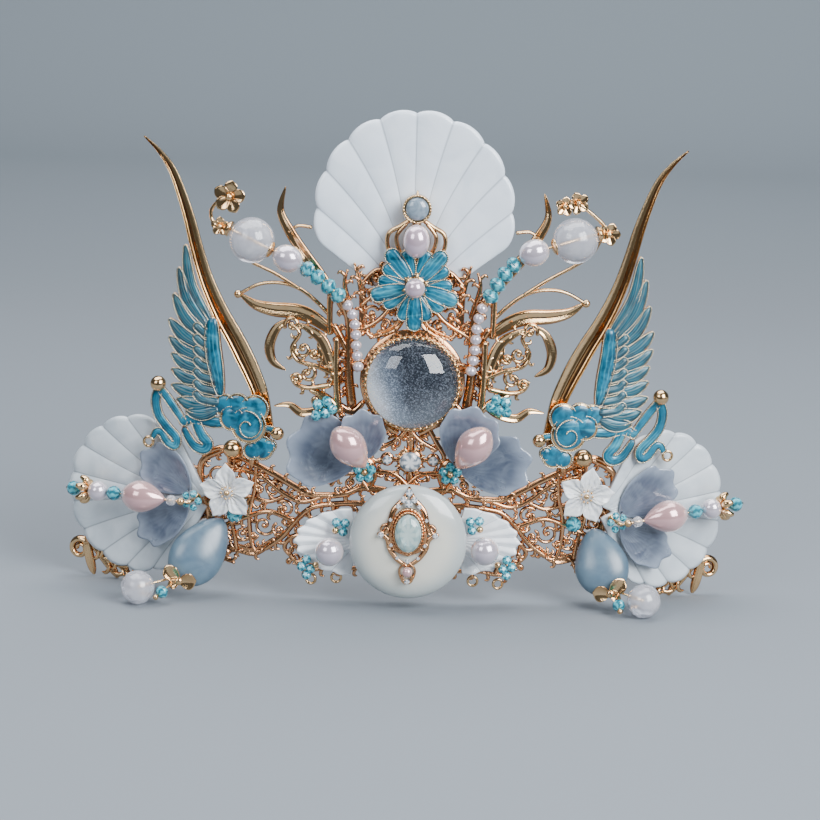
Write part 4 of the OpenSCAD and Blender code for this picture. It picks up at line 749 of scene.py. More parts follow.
# The scroll group beside the dome and the leaf spray above it, on the side plane
SCROLL_D = RELIEF_T + 0.2
SCROLL_ROWS = [
    (1, 0.5, 2.6, [[13.6, 89.4], [17.6, 86.6], [19.8, 81], [18.6, 76], [14.7, 73.6]]),
    (1.3, 1.6, 0, [[12.4, 88], [10.2, 85.4], [12.6, 80.7], [10.5, 76.8], [4.9, 75.5],
                   [-0.6, 73.4]]),
    (0.8, 1.8, 2.2, [[10.6, 88.4], [6.6, 86.6], [2.8, 83.6], [0.4, 78], [-1, 72]]),
    (0.6, 1.8, 1.6, [[4.4, 82.6], [2.6, 78.6], [0.4, 74]]),
    (1.2, 2, 0, [[12.6, 71.7], [11.1, 69.3], [7, 68.4], [0.6, 69.6]]),
    (0.4, 2.2, 1.6, [[17.8, 62], [13.1, 62.6], [9, 60.4], [3.6, 61.6], [-1, 64.6]]),
    (2, 2.6, 0, [[-1.6, 84], [-1.6, 76], [-2, 68], [-2.6, 62]]),
    (1.8, 2, 0.6, [[6, 67.6], [1, 65.6], [-3, 62]])]
SCROLL_CURLS = [
    (12.6, 88, 2.5, -20, 470), (9, 80.6, 2.8, 20, -430), (7.5, 72.9, 3.0, 80, 450),
    (11.2, 71, 1.7, 180, -380), (4.6, 64.6, 1.9, 120, 400), (5.4, 79.4, 1.6, 200, 380)]

SPRAY_ROWS = [
    (1.1, 1.4, 0, [[30.2, 96.4], [24, 99.7], [17.3, 100.5], [11.1, 99], [5.5, 95.2], [1, 90.8]]),
    (0.8, 3, 3, [[30, 96.2], [25.3, 93.3], [19.4, 92.1], [11.6, 91.8], [6, 89.9], [1, 86.6]]),
    (0.4, 1.6, 2.6, [[16.1, 130.4], [17.5, 123.2], [14.4, 116.7], [9.5, 109.9], [3.4, 102.6],
                     [1, 98]]),
    (1, 1.2, 0, [[14.6, 116.7], [12, 118.6], [8, 118.4]]),
    (2, 2, 0, [[1.2, 86], [1.3, 92], [1.3, 99]])]
# The stem that reaches under the bead branch and carries it
CARRIER = {
    -1: (1, 1.2, 0, [[26, 106.2], [19, 103.4], [11.4, 99.2]]),
    1: (1, 1.2, 0, [[34.4, 115.8], [31.6, 111.4], [26.4, 108], [18, 103.6], [11, 99.2]])}


LEAF_BELLY, LEAF_GROOVE = 0.9, 0.62
# Spine of a leaflet, as shares of its size ahead and aside, and the lowest that a spine goes
LEAFLET = np.array([[0, 0], [0.55, 0.5], [0.7, 1.1], [0.3, 1.35]])
LEAFLET_FLOOR = 1.6
# Between a post and the piece that it carries
POST_GAP = 0.2


def scrollwork(piece, rows, back=0.25, rise=1.1):
    """Bands of a table. Neighbours lie at slightly different depths, as soldered wires do. A band
    whose belly is over LEAF_BELLY is a leaf with a hollow face."""
    for k, (w0, w1, belly, points) in enumerate(rows):
        deep, high = back + 0.15 * (k % 3), rise + 0.16 * max(w0, w1)
        leaf = belly > LEAF_BELLY
        piece.add(band(points, w0, w1, belly, deep, high, LEAF_GROOVE if leaf else 0,
                       0.7 if leaf else 1.0, 16 if leaf else 10))


def curls(piece, rows, back=0.3, rise=1.15, wire=1.15):
    """Wires that curl in to a bud."""
    for k, (x, z, radius, start, turn) in enumerate(rows):
        deep = back + 0.25 * (k % 2)
        path = spiral(x, z, radius, start, turn)
        piece.add(band(path, wire, 0.8 * wire, 0, deep, rise, per_span=1, sides=8))
        piece.add(ball([x, z, deep + 0.55], 0.78, 12))


def leaflets(piece, rows, back=0.3, pitch=2.6, size=1.9, finish=0):
    """Small leaves that curl back, on alternate sides along each band, like acanthus. Their
    spines stay over LEAFLET_FLOOR, because the tails stand on the ground."""
    for _, _, _, points in rows:
        path = smooth(points, 6)
        run = lengths(path)
        for k, at in enumerate(np.arange(0.5 * pitch, run[-1], pitch)):
            foot, ahead = (np.array([np.interp(at + far, run, path[:, i]) for i in (0, 1)])
                           for far in (0, 0.3))
            on = unit(ahead - foot)
            aside = np.array([-on[1], on[0]]) * (1 if k % 2 else -1)
            row = foot + size * LEAFLET @ [on, aside]
            row[:, 1] = np.maximum(row[:, 1], LEAFLET_FLOOR)
            piece.add(band(row, 0.47 * size, 0.5, 0.3 * size, back + 0.2 * (k % 3), 1.0, sides=6,
                           per_span=3), finish)


def offshoots(rows):
    """A smaller curl beside each curl of a table, wound the other way."""
    made = []
    for k, (x, z, r, start, turn) in enumerate(rows):
        a = np.radians(start + (115 if k % 2 else 205))
        made.append((x + 1.55 * r * np.cos(a), z + 1.55 * r * np.sin(a), 0.62 * r, start + 190,
                     -0.9 * turn))
    return made


def grains(piece, rows):
    """A round grain of metal at both ends of each band, as where wires are soldered together."""
    for w0, w1, _, points in rows:
        for (u, z), w in ((points[0], w0), (points[-1], w1)):
            piece.add(ball([u, z, 0.8], 0.35 + 0.28 * w, 10))


def bosses(piece, rows):
    """Plain round pads and posts: rows of (u, z, radius, back, front)."""
    for u, z, r, d0, d1 in rows:
        e = 0.2 * r
        piece.add(lathe([(r - e, 0), (r, e), (r, d1 - d0 - e), (r - e, d1 - d0)], [u, z, d0],
                        sides=32))


panel = Piece("center_panel", rose)
small_curls = offshoots(CENTER_CURLS)
for s in SIDES:
    panel.on(ON_HALF[s])
    scrollwork(panel, CENTER_ROWS)
    curls(panel, CENTER_CURLS)
    curls(panel, small_curls, 0.15, 1.0, 0.9)
    curls(panel, offshoots([row for row in small_curls if row[2] > 1.2]), 0, 0.9, 0.8)
    leaflets(panel, CENTER_ROWS)
    grains(panel, CENTER_ROWS)
    bosses(panel, [(*PETAL_APEX, 3.4, 0, RELIEF_T),
                   (PETAL_APEX[0], PETAL_BEAD_Z, 0.7, PLATE_T, 3.5)])
    panel.on(ON_CENTER)
    bosses(panel, [(s * SIDE_GEM_X, SIDE_GEM_Z, 2.2, 0, PLATE_T)])
for z, inner, outer in ((DOME_Z, DOME_R - 3.8, BEZEL_R + 0.9), (FLOWER_Z, 3.2, 6.4),
                        (DISC_Z, DISC_SEAT_R - 3.4, DISC_SEAT_R + 0.6)):
    panel.add(ring([0, z, 0], inner, outer, PLATE_T))
panel.add(ring([0, DISC_Z, 0.7], DISC_SEAT_R - 1.4, DISC_SEAT_R,
               DISC_D - DISC_HALF_T - GAP - 0.7))
bosses(panel, [(0, GEM_Z, 4.3, 0, PLATE_T), (0, FLOWER_Z, 3.9, 0, FLOWER_D - POST_GAP)])
for w0, w1, row in (
        (1.6, 1.6, [[-14, GEM_Z - 1.6], [-7, GEM_Z], [8, GEM_Z], [14, GEM_Z - 1.6]]),
        (2.6, 2.6, [[0, DISC_Z + DISC_SEAT_R - 1], [0, 46], [0, DOME_Z - BEZEL_R + 1]]),
        (3, 6, [[0, 105], [0, 108], [0, 110.5]])):
    panel.add(band(row, w0, w1, back=0.25))
panel.make("rose_gold", "frame_center")

WHITE_FLOWER_U, WHITE_FLOWER_D = 31.6, 6.2
WHITE_FLOWER_Z = {-1: 34, 1: 36}
WING_D, SHELL_D, SHELL_T = 4.1, 1.9, 1.8
for s in SIDES:
    # The tail's leaves spread from v, beside its last curl
    v = pick(s, (38, 30))
    tail_rows = [
        (4, 4, 0, [[-2, 24.2], [4, 21.6], [12, 19.4], [v - 12, 17], [v - 2, 12]]),
        (2.2, 1.6, 2, [[v - 2.5, 12.5], [v - 6, 8.4], [v - 11.6, 0.83]]),
        (2.2, 1.2, 1.6, [[v - 3, 13], [v - 9.5, 8], [v - 15.8, 2.4]]),
        (2, 1, 1.4, [[v - 4, 13.6], [v - 11, 10.4], [v - 18.4, 4.8]]),
        (2, 1.2, 1.2, [[v - 1, 11.6], [v - 2.4, 5], [v - 3.6, 1]])]
    side = Piece(side_name("side_panel", s), rose, gold).on(ON_SIDE[s])
    scrollwork(side, SIDE_ROWS)
    curls(side, SIDE_CURLS)
    curls(side, offshoots(SIDE_CURLS), 0.15, 1.0, 0.9)
    leaflets(side, SIDE_ROWS[:-2])
    grains(side, SIDE_ROWS)
    bosses(side, [(WHITE_FLOWER_U, WHITE_FLOWER_Z[s], 2.2, 0, WHITE_FLOWER_D - POST_GAP),
                  (24.6, 47.2, 1.8, 0, WING_D - POST_GAP)])
    side.add(ball([31, 47.2, 3.6], 3.1, 40), 1)
    side.on(ON_TAIL[s])
    scrollwork(side, tail_rows[:1], 0.1, 1.1)
    for k, (w0, w1, belly, row) in enumerate(tail_rows[1:]):
        side.add(band(row, w0 + 0.3, w1, belly + 0.3, 0.2 * k, 1.7, LEAF_GROOVE, 0.7, 16), 1)
    leaflets(side, tail_rows[1:4], 0.8, 3.0, 2.5, 1)
    curl = spiral(v + 1.5, 8.6, 3.4, 130, -480, 1)
    side.add(band(curl, 2.4, 1.2, 0, 0.2, 1.7, per_span=1), 1)
    bosses(side, [(2, 22.4, 1.6, 0, SHELL_D - POST_GAP), (14, 19.2, 1.6, 0, SHELL_D - POST_GAP)])
    side.make("rose_gold", side_name("frame", s))

    scroll = Piece(side_name("scroll_group", s), gold).on(ON_SIDE[s])
    scrollwork(scroll, SCROLL_ROWS, SCROLL_D + 0.2, 1.2)
    curls(scroll, SCROLL_CURLS, SCROLL_D + 0.25, 1.3, 1.35)
    leaflets(scroll, SCROLL_ROWS[1:5], SCROLL_D + 0.2, 3.0, 1.7)
    scroll.make("gold", side_name("scroll", s))

    spray = Piece(side_name("leaf_spray", s), gold).on(ON_SIDE[s])
    scrollwork(spray, SPRAY_ROWS + [CARRIER[s]], 0.25, 1.0)
    spray.add(ball([30.7, 96.2, 0.7], 1.3, 24))
    spray.make("gold", side_name("spray", s))

# Horns: (u, z, width) of a hollowed trough that bends outward to a point
HORN_ROWS = [
    [20, 52.6, 4.6], [21, 58, 5], [22.6, 65.4, 5.4], [24.8, 70.9, 5.8], [27.6, 76.6, 6.2],
    [31, 82.8, 6], [34.8, 89, 5.6], [38.4, 96, 5.1], [41.3, 103, 4.6], [43.8, 111, 4.2],
    [46, 119, 3.8], [48.7, 127, 3.2], [52, 134.6, 2.5], [56.2, 140, 1.5], [61, 144.2, 0.5]]
HORN_D = PLATE_T + 0.2
# The section as shares of its half width and its height: a flat inner face and, outside it, a
# trough with a rim
HORN_SECTION = np.array([
    [-1, 0.5], [-0.98, 0.9], [-0.93, 1], [-0.85, 0.95], [-0.5, 0.86], [-0.14, 0.82], [-0.08, 0.86],
    [-0.02, 0.5], [0.1, 0.3], [0.35, 0.24], [0.62, 0.28], [0.8, 0.45], [0.86, 0.92], [0.92, 1],
    [0.98, 0.85], [1, 0.5], [0.8, 0.15], [0.4, 0.03], [0, 0], [-0.4, 0.03], [-0.8, 0.15]])


def horn():
    """The horn's section, scaled to the width at each row and set square to the run."""
    rows = smooth(HORN_ROWS, 6)
    heading = unit(np.gradient(rows[:, :2], axis=0))
    aside = np.stack([heading[:, 1], -heading[:, 0]], -1)
    x, y = HORN_SECTION.T
    flat = rows[:, None, :2] + aside[:, None] * (rows[:, 2] / 2)[:, None, None] * x[None, :, None]
    depth = HORN_D + (0.5 + 0.28 * rows[:, 2])[:, None] * y[None, :]
    # The across mark is high on the trough floor and the back, so the gold there takes its painted
    # shade.
    return skin(np.concatenate([flat, depth[..., None]], -1), across=np.clip(1.15 - y, 0, 1))


# Wings. Feathers are rows of (root u, root z, tip u, tip z, width), lobes of the cloud are
# (u, z, radius), and ribbons are (start width, end width, belly, points).
FEATHER_ROWS = [
    (38.6, 88, 46.6, 110.8, 3.0), (39.4, 86, 48.6, 103.6, 3.4), (39.8, 83, 50, 95.4, 3.8),
    (40, 79.5, 51.3, 87.4, 4.0), (40, 76, 51.2, 81.8, 4.0), (39.6, 72.4, 50.4, 76.6, 4.0),
    (39.2, 68.8, 50.2, 71.8, 4.0), (38.6, 65.2, 50.2, 66.8, 4.2), (37.6, 61.6, 48.4, 62.4, 4.6),
    (36.6, 59.6, 45.4, 58.6, 3.6)]
CLOUD_ROWS = [
    (33.4, 61.4, 3.7), (29.2, 61.6, 4), (23.6, 61, 4.5), (31, 57.4, 4), (25.6, 55.6, 5.8),
    (24.4, 47.4, 2.9), (21.2, 48.6, 4), (18.6, 49.4, 2.2)]
RIBBON_ROWS = [
    (2.2, 1.2, 0.6, [[54.8, 65.4], [55.9, 61.6], [55, 57], [52.2, 53.2], [49.2, 50], [49.6, 47.4],
                     [52, 48.4], [54, 51.2], [55.6, 51.4], [56.8, 49.6]]),
    (1.8, 1.6, 0.4, [[54.6, 65.6], [51.6, 62], [49.4, 59], [46.6, 55]]),
    (2.2, 2.4, 0.6, [[47, 55], [43, 56.8], [38, 55.8], [33, 56]]),
    (1.6, 2.4, 0.8, [[46.4, 52.4], [43.4, 48], [40.4, 46.9], [38.8, 48.6], [41, 51.6], [43, 56]]),
    (1.2, 1.2, 0, [[21, 55], [18.4, 54.8], [16.2, 53.6]])]
# Places of the finishes in a wing's list and in the enamel flower's
GOLD, ENAMEL, GILT, FEATHER = range(4)


def inlaid(piece, points, w0, w1, belly, back, rise, fill=ENAMEL):
    """Enamel in a gold cell: a flat gold band, the enamel crowned on it, a beaded edge round it."""
    piece.add(band(points, w0 + 0.5, w1 + 0.5, belly, back, 0.62 * rise, crown=0.3), GOLD)
    piece.add(band(points, w0 + 0.05, w1 + 0.05, belly, back + 0.1, rise - 0.1, crown=0.55,
                   sides=14), fill)
    piece.add(beaded_edge(outline(points, w0, w1, belly, 0.12), back + 0.78 * rise), GILT)


def cloud_lobe(piece, u, z, r, rise):
    """Round lobe of the cloud: a gold disc, a domed enamel face and a beaded ring."""
    at = [u, z, WING_D]
    piece.add(lathe([(r - 0.2, 0), (r, 0.2), (r, 0.6 * rise), (r - 0.25, 0.68 * rise)], at,
                    sides=40), GOLD)
    a = np.radians(np.linspace(0, 86, 8))
    face = np.stack([(r - 0.35) * np.cos(a), 0.4 * rise + 0.6 * rise * np.sin(a)], -1)
    piece.add(lathe(face, at, sides=40), ENAMEL)
    piece.add(beaded_edge(oval(u, z, r - 0.15, r - 0.15), WING_D + 0.72 * rise), GILT)


for s in SIDES:
    long_horn = Piece(side_name("long_horn", s), gold).on(ON_SIDE[s])
    long_horn.add(horn()).make("gold", side_name("horn", s))
    wing = Piece(side_name("feather_wing", s), gold, enamel, pale_gilt, feather).on(ON_SIDE[s])
    for k, (u0, z0, u1, z1, w) in enumerate(FEATHER_ROWS):
        a, b = np.array([u0, z0]), np.array([u1, z1])
        bow = (a + b) / 2 + 0.09 * np.array([b[1] - a[1], a[0] - b[0]])
        inlaid(wing, [a, bow, b], 0.75 * w, 1.0, 0.62 * w, WING_D + 0.04 * k, 1.4, FEATHER)
    # Short feathers over the roots of the long ones, then the shoulder over both
    for k in range(7):
        row = [[37.4 - 0.2 * k, 83.4 - 3.5 * k], [40.6, 84.6 - 3.6 * k], [42.4, 86 - 3.6 * k]]
        inlaid(wing, row, 2.6, 2.4, 0, WING_D + 0.3, 1.65, FEATHER)
    inlaid(wing, [[37.6, 87.4], [37.3, 80.3], [36, 72.3], [34.8, 65.6]], 3.4, 2.2, 1.9,
           WING_D + 0.1, 2.3)
    for w0, w1, belly, row in RIBBON_ROWS:
        inlaid(wing, row, w0 + 0.4, w1 + 0.4, belly, WING_D, 1.2)
    # The first five lobes overlap, so each stands a little higher than the one before
    for k, (u, z, r) in enumerate(CLOUD_ROWS):
        cloud_lobe(wing, u, z, r, 1.5 + 0.1 * k if k < 5 else 1.5)
    wing.add(beaded_edge(spiral(25.6, 55.2, 5.2, 80, 430, 1, 60), WING_D + 2.0, 0.32), GILT)
    wing.add(ring([58.2, 48, WING_D], 1.1, 1.9, 1, sides=32), GOLD)
    for u, z, r in ((55, 67, 2.5), (16.2, 53.6, 2.1)):
        wing.add(ball([u, z, WING_D + 1.1], r, 32), GOLD)
    wing.make("enamel", side_name("wing", s))

# Top shell, its setting, the cabochon, the pearls and the enamel flower
TOP_SHELL_R, TOP_SHELL_HALF_H, TOP_SHELL_Z = 31.2, 32.0, 123.6
top = Piece("top_fan_shell", shell).on(ON_CENTER)
top.add(moved(fan_shell(TOP_SHELL_R, TOP_SHELL_HALF_H, 10, 220, 1.8, rows=48),
              [-AXIS_X, TOP_SHELL_Z - TOP_SHELL_HALF_H, -SHELL_T]))
top.make("shell", "fan_shell_top")

SETTING_D, CABOCHON_Z, CABOCHON_R = 1.7, 125.7, 3.6
COLLET_R = CABOCHON_R + 0.8
EAR_ROWS = [
    (1.6, 1.4, 0, [[2.6, 121.6], [5.2, 119.8], [8.4, 117.8], [8.9, 114.2], [7.4, 111],
                   [4.4, 109.6]]),
    (1.4, 1.4, 0, [[3.4, 120.6], [6, 117], [5.4, 113], [3, 110]])]
setting = Piece("lyre_setting", gold)
for s in SIDES:
    setting.on(plane(s, s * AXIS_X, PANEL_Y, 0))
    scrollwork(setting, EAR_ROWS, SETTING_D + 0.2, 1.1)
setting.on(ON_CENTER)
setting.add(band([[0, 121], [0, 114], [0, 108.6]], 2.6, 5, 0, SETTING_D + 0.1, 0.9))
setting.add(band([[0, 128], [0, 129.4], [0, 130.8]], 2, 0.6, 0, SETTING_D + 0.1, 1.2))
bosses(setting, [(0, CABOCHON_Z, COLLET_R, SETTING_D, SETTING_D + 1.5)])
setting.add(ring([0, CABOCHON_Z, SETTING_D + 0.5], CABOCHON_R + 0.1, COLLET_R, 3.2))
setting.add(beaded_edge(oval(0, CABOCHON_Z, CABOCHON_R + 0.55, CABOCHON_R + 0.55),
                        SETTING_D + 3.7, 0.4, 1.0))
setting.make("gold", "top_setting")


def dome_profile(r, foot, rise, steps=10):
    """Half outline of a dome: an upright foot and a quarter ellipse over it."""
    a = np.radians(np.linspace(0, 86, steps))
    arc = np.stack([r * np.cos(a), foot + (rise - foot) * np.sin(a)], -1)
    return np.vstack([[[r * 0.9, 0], [r, 0.12]], arc])


cabochon = Piece("grey_cabochon", grey_stone).on(ON_CENTER)
cabochon.add(lathe(dome_profile(CABOCHON_R, 1.6, 3.4), [0, CABOCHON_Z, SETTING_D + 1.7]))
cabochon.make("aqua_stone", "top_cabochon")

PEARL_R, PEARL_HALF = 4.1, 5.2
pearls = Piece("center_row_pearls", blush_pearl).on(ON_CENTER)
pearls.add(ball([0, 116.1, SETTING_D + 1.1 + GAP + PEARL_R], PEARL_R, 40, PEARL_HALF / PEARL_R,
                UPRIGHT))
pearls.add(ball([0, FLOWER_Z, FLOWER_D + 5.1], 3.1, 36))
pearls.make("pink_pearl", "center_pearls")

FLOWER_R = 14.0
flower = Piece("turquoise_flower", gold, enamel, pale_gilt).on(ON_CENTER)
for turn in (-90, -20, 50, 128, 194):
    for lean, short, w0, w1 in ((21, 4.4, 2, 3.8), (-21, 4.4, 2, 3.8), (0, 2.3, 2.4, 4.6)):
        row = ray(FLOWER_Z, turn + lean, (3.1, 7.2, FLOWER_R - short))
        inlaid(flower, row, w0, w1, 0.8, FLOWER_D + (0.15 if lean else 0.3), 1.25)
bosses(flower, [(0, FLOWER_Z, 3.8, FLOWER_D, FLOWER_D + 1.3)])
for turn in range(20, 380, 60):
    flower.add(band(ray(FLOWER_Z, turn, (2.2, 3, 4)), 1.3, 0.7, 0.5, FLOWER_D + 1.2, 1.0), GOLD)
flower.make("enamel", "enamel_flower")

# Crystal dome in its milled bezel
TOOTH_STEP = 7.5
bezel = Piece("milled_bezel", gold).on(ON_CENTER)
bezel.add(ring([0, DOME_Z, DOME_D + 0.4], DOME_R + 0.15, DOME_R + 0.8, 2.6, sides=96))
bezel.add(ring([0, DOME_Z, DOME_D], DOME_R - 1.6, DOME_R + 0.8, 1, sides=96))
for turn in np.arange(0, 360, TOOTH_STEP):
    row = ray(DOME_Z, turn, (DOME_R + 0.4, DOME_R + 0.9, BEZEL_R - 0.3))
    bezel.add(band(row, 1.3, 0.9, 0, DOME_D + 0.9, 2.3, sides=8, per_span=2))
for turn in np.arange(0, 360, TOOTH_STEP) + TOOTH_STEP / 2:
    x, z = ray(DOME_Z, turn, [DOME_R + 0.25])[0]
    bezel.add(ball([x, z, DOME_D + 3.1], 0.68, 10))
bezel.make("gold", "crystal_bezel")
dome = Piece("crystal_dome_stone", clear, foil).on(ON_CENTER)
dome.add(lathe(dome_profile(DOME_R, 1.4, DOME_RISE, 18), [0, DOME_Z, DOME_D + 1.2], sides=96))
foil_profile = [(DOME_R - 0.6, 0), (DOME_R - 0.5, 0.1), (DOME_R - 0.6, 0.5), (8, 0.9), (1, 1.2)]
dome.add(lathe(foil_profile, [0, DOME_Z, DOME_D + 1.3], sides=96), 1)
dome.make("crystal", "crystal_dome")

gems = Piece("gem_row", brilliant, gold).on(ON_CENTER)
gems.add(cut_stone([0, GEM_Z, PLATE_T + GAP], 3.4, 3.2, 2.6, 12), flat=True)
for s in SIDES:
    gems.add(cut_stone([s * SIDE_GEM_X, SIDE_GEM_Z, PLATE_T + GAP], 1.5, 1.5, 1.6, 8), flat=True)
for turn in np.arange(22.5, 360, 45):
    claw = ray(GEM_Z, turn, (3.2, 3.9, 5.0))
    gems.add(band(claw, 1.0, 0.4, 0.3, PLATE_T - 0.1, 1.6, sides=8, per_span=3), 1)
gems.make("crystal", "panel_gems")


def disc_face(r):
    """Height of the jade disc's face over its middle plane at radius r."""
    return DISC_HALF_T * np.clip(1 - (np.abs(r) / DISC_R) ** 3.2, 0, 1) ** 0.55


front_r = DISC_R * np.sin(np.radians(np.linspace(4, 90, 26)))
back_r = DISC_R * np.sin(np.radians(np.linspace(86, 45, 10)))
disc_profile = np.vstack([np.stack([front_r, disc_face(front_r)], -1),
                          np.stack([back_r, -0.97 * disc_face(back_r)], -1), [[2, -DISC_HALF_T]]])
disc = Piece("cream_jade_disc", jade).on(ON_CENTER)
disc.add(lathe(disc_profile, [0, DISC_Z, DISC_D], sides=96))
disc.make("jade", "jade_disc")


def on_disc(points):
    """Places points given from the disc's middle, with d over its domed face."""
    points = np.asarray(points, float)
    r = np.hypot(points[:, 0], points[:, 1])
    d = DISC_D + disc_face(r) + GAP + points[:, 2]
    return ON_CENTER(np.stack([points[:, 0], points[:, 1] + DISC_Z, d], -1))


STONE_UP, STONE_D = 4.6, DISC_D + DISC_HALF_T + GAP + 1.3
stones = Piece("ornament_gems", pale_stone, brilliant, pink_pearl).on(ON_CENTER)
stones.add(cut_stone([0, DISC_Z + STONE_UP, STONE_D], 4.1, 6, 3.1, 16), flat=True)
stones.add(ball([0, DISC_Z - 7.7, STONE_D + 1.5], 1.6, 24), 2)
stones.on(on_disc)
for x, z, r in ((0, 16.6, 1.1), (1.7, 14.6, 1.0), (0, 13.4, 1.2), (3.3, 12.6, 0.8),
                (8.4, 3.6, 0.9), (5.6, 8.4, 0.6), (5.2, 0.4, 0.6), (0, -4.6, 0.8),
                (3.2, -3.6, 0.6), (0, -11.4, 0.9)):
    for u in (-x, x) if x else (0,):
        stones.add(cut_stone([u, z, 0.8], r, r, 1.3, 8), 1, flat=True)
stones.make("aqua_stone", "ornament_stones")

ORNAMENT_ROWS = [
    (0.9, 0.9, 0, [[0, 17.6], [2.2, 14.2], [4.6, 11.2]]),
    (1.5, 1.3, 0.4, [[1.2, 15], [4.6, 11.2], [5.9, 6.6], [7.4, 4], [9, 3.6]]),
    (1.3, 1.1, 0.4, [[8.6, 3.6], [6.4, 2], [5.4, -1.4], [3.2, -4.4], [0.4, -6.4]]),
    (1.3, 1.1, 0, [[4.9, 6.6], [5.4, 2.6], [4, -1], [0, -2.8]]),
    (0.7, 0.7, 0, [[0.6, -5.4], [2.4, -7.6], [1.8, -10.6], [0, -11.6]])]
ornament = Piece("disc_ornament", rose).on(on_disc)
for s in SIDES:
    for w0, w1, belly, row in ORNAMENT_ROWS:
        ornament.add(band(np.array(row) * [s, 1], w0, w1, belly, 0.15, 0.85, 0.2))
    for x, z, r, start, turn in ((7, 5, 1.7, 90, -400), (5.2, 0, 1.5, 200, 380)):
        path = spiral(x, z, r, start, turn) * [s, 1]
        ornament.add(band(path, 0.8, 0.7, 0, 0.2, 0.8, per_span=1, sides=8))
rim = oval(0, STONE_UP, 4.35, 6.3)
ornament.add(band(rim, 0.9, 0.9, 0, 0.3, 1.5, per_span=1, sides=8))
ornament.add(beaded_edge(rim, 1.9, 0.46, 1.0))
ornament.add(beaded_edge(oval(0, STONE_UP, 5.1, 7.1), 0.9, 0.5, 1.2))
ornament.add(ring([0, -10.4, 0.2], 1.2, 2.0, 1.0, sides=24))
ornament.make("rose_gold", "ornament_frame")

# Branch of seed pearls, crystals, an oval pearl and a quartz ball, on the half plane
SEED_R, CRYSTAL_R, CRYSTAL_HALF = 1.55, 2.3, 1.75
OVAL_R, OVAL_HALF, QUARTZ_R, WIRE_R = 4.2, 4.8, 7.1, 0.35
SEEDS = {
    -1: [[16.1, 76], [16.5, 79.4], [16.9, 82.7], [17.1, 86], [17.5, 89.2], [18.3, 92.4],
         [19.8, 95.2]],
    1: [[18.9, 75.6], [19.4, 78.9], [19.8, 82.2], [20, 85.5], [20.2, 88.8], [20.7, 92.1],
        [21.7, 95.3]]}
CRYSTALS = {
    -1: [[-2.2, 98.4], [1, 101], [4.4, 103.6], [7.8, 105.9]],
    1: [[-0.8, 99.4], [1.2, 102.9], [3.5, 106.2], [6.2, 109.1]]}
OVALS = {-1: [13.6, 109.2], 1: [12.0, 113.1]}
QUARTZES = {-1: [25.2, 114.2], 1: [25, 116.7]}
QUARTZ_D = 6.0
SEAT = RELIEF_T + GAP
# Places along the branch: where the crystals start, the oval pearl and the quartz ball
FIRST_CRYSTAL, OVAL, QUARTZ = 7, 11, 12
# The gold flowers at the end: their stems, and rows of (u, z, radius, turn)
TIP_STEMS = {
    -1: [[34.9, 117], [37.4, 118.8], [38.2, 122.6], [35.6, 126], [32.6, 127]],
    1: [[34.4, 117.2], [34.2, 121], [30.6, 124.6], [26, 128]]}
TIP_BLOOMS = {
    -1: [(32.4, 127.2, 5, 100), (35.2, 118, 2.9, 20)],
    1: [(25.4, 128.4, 3.4, 40), (21.2, 127.4, 3, 10), (35.6, 118.8, 3.5, 70)]}

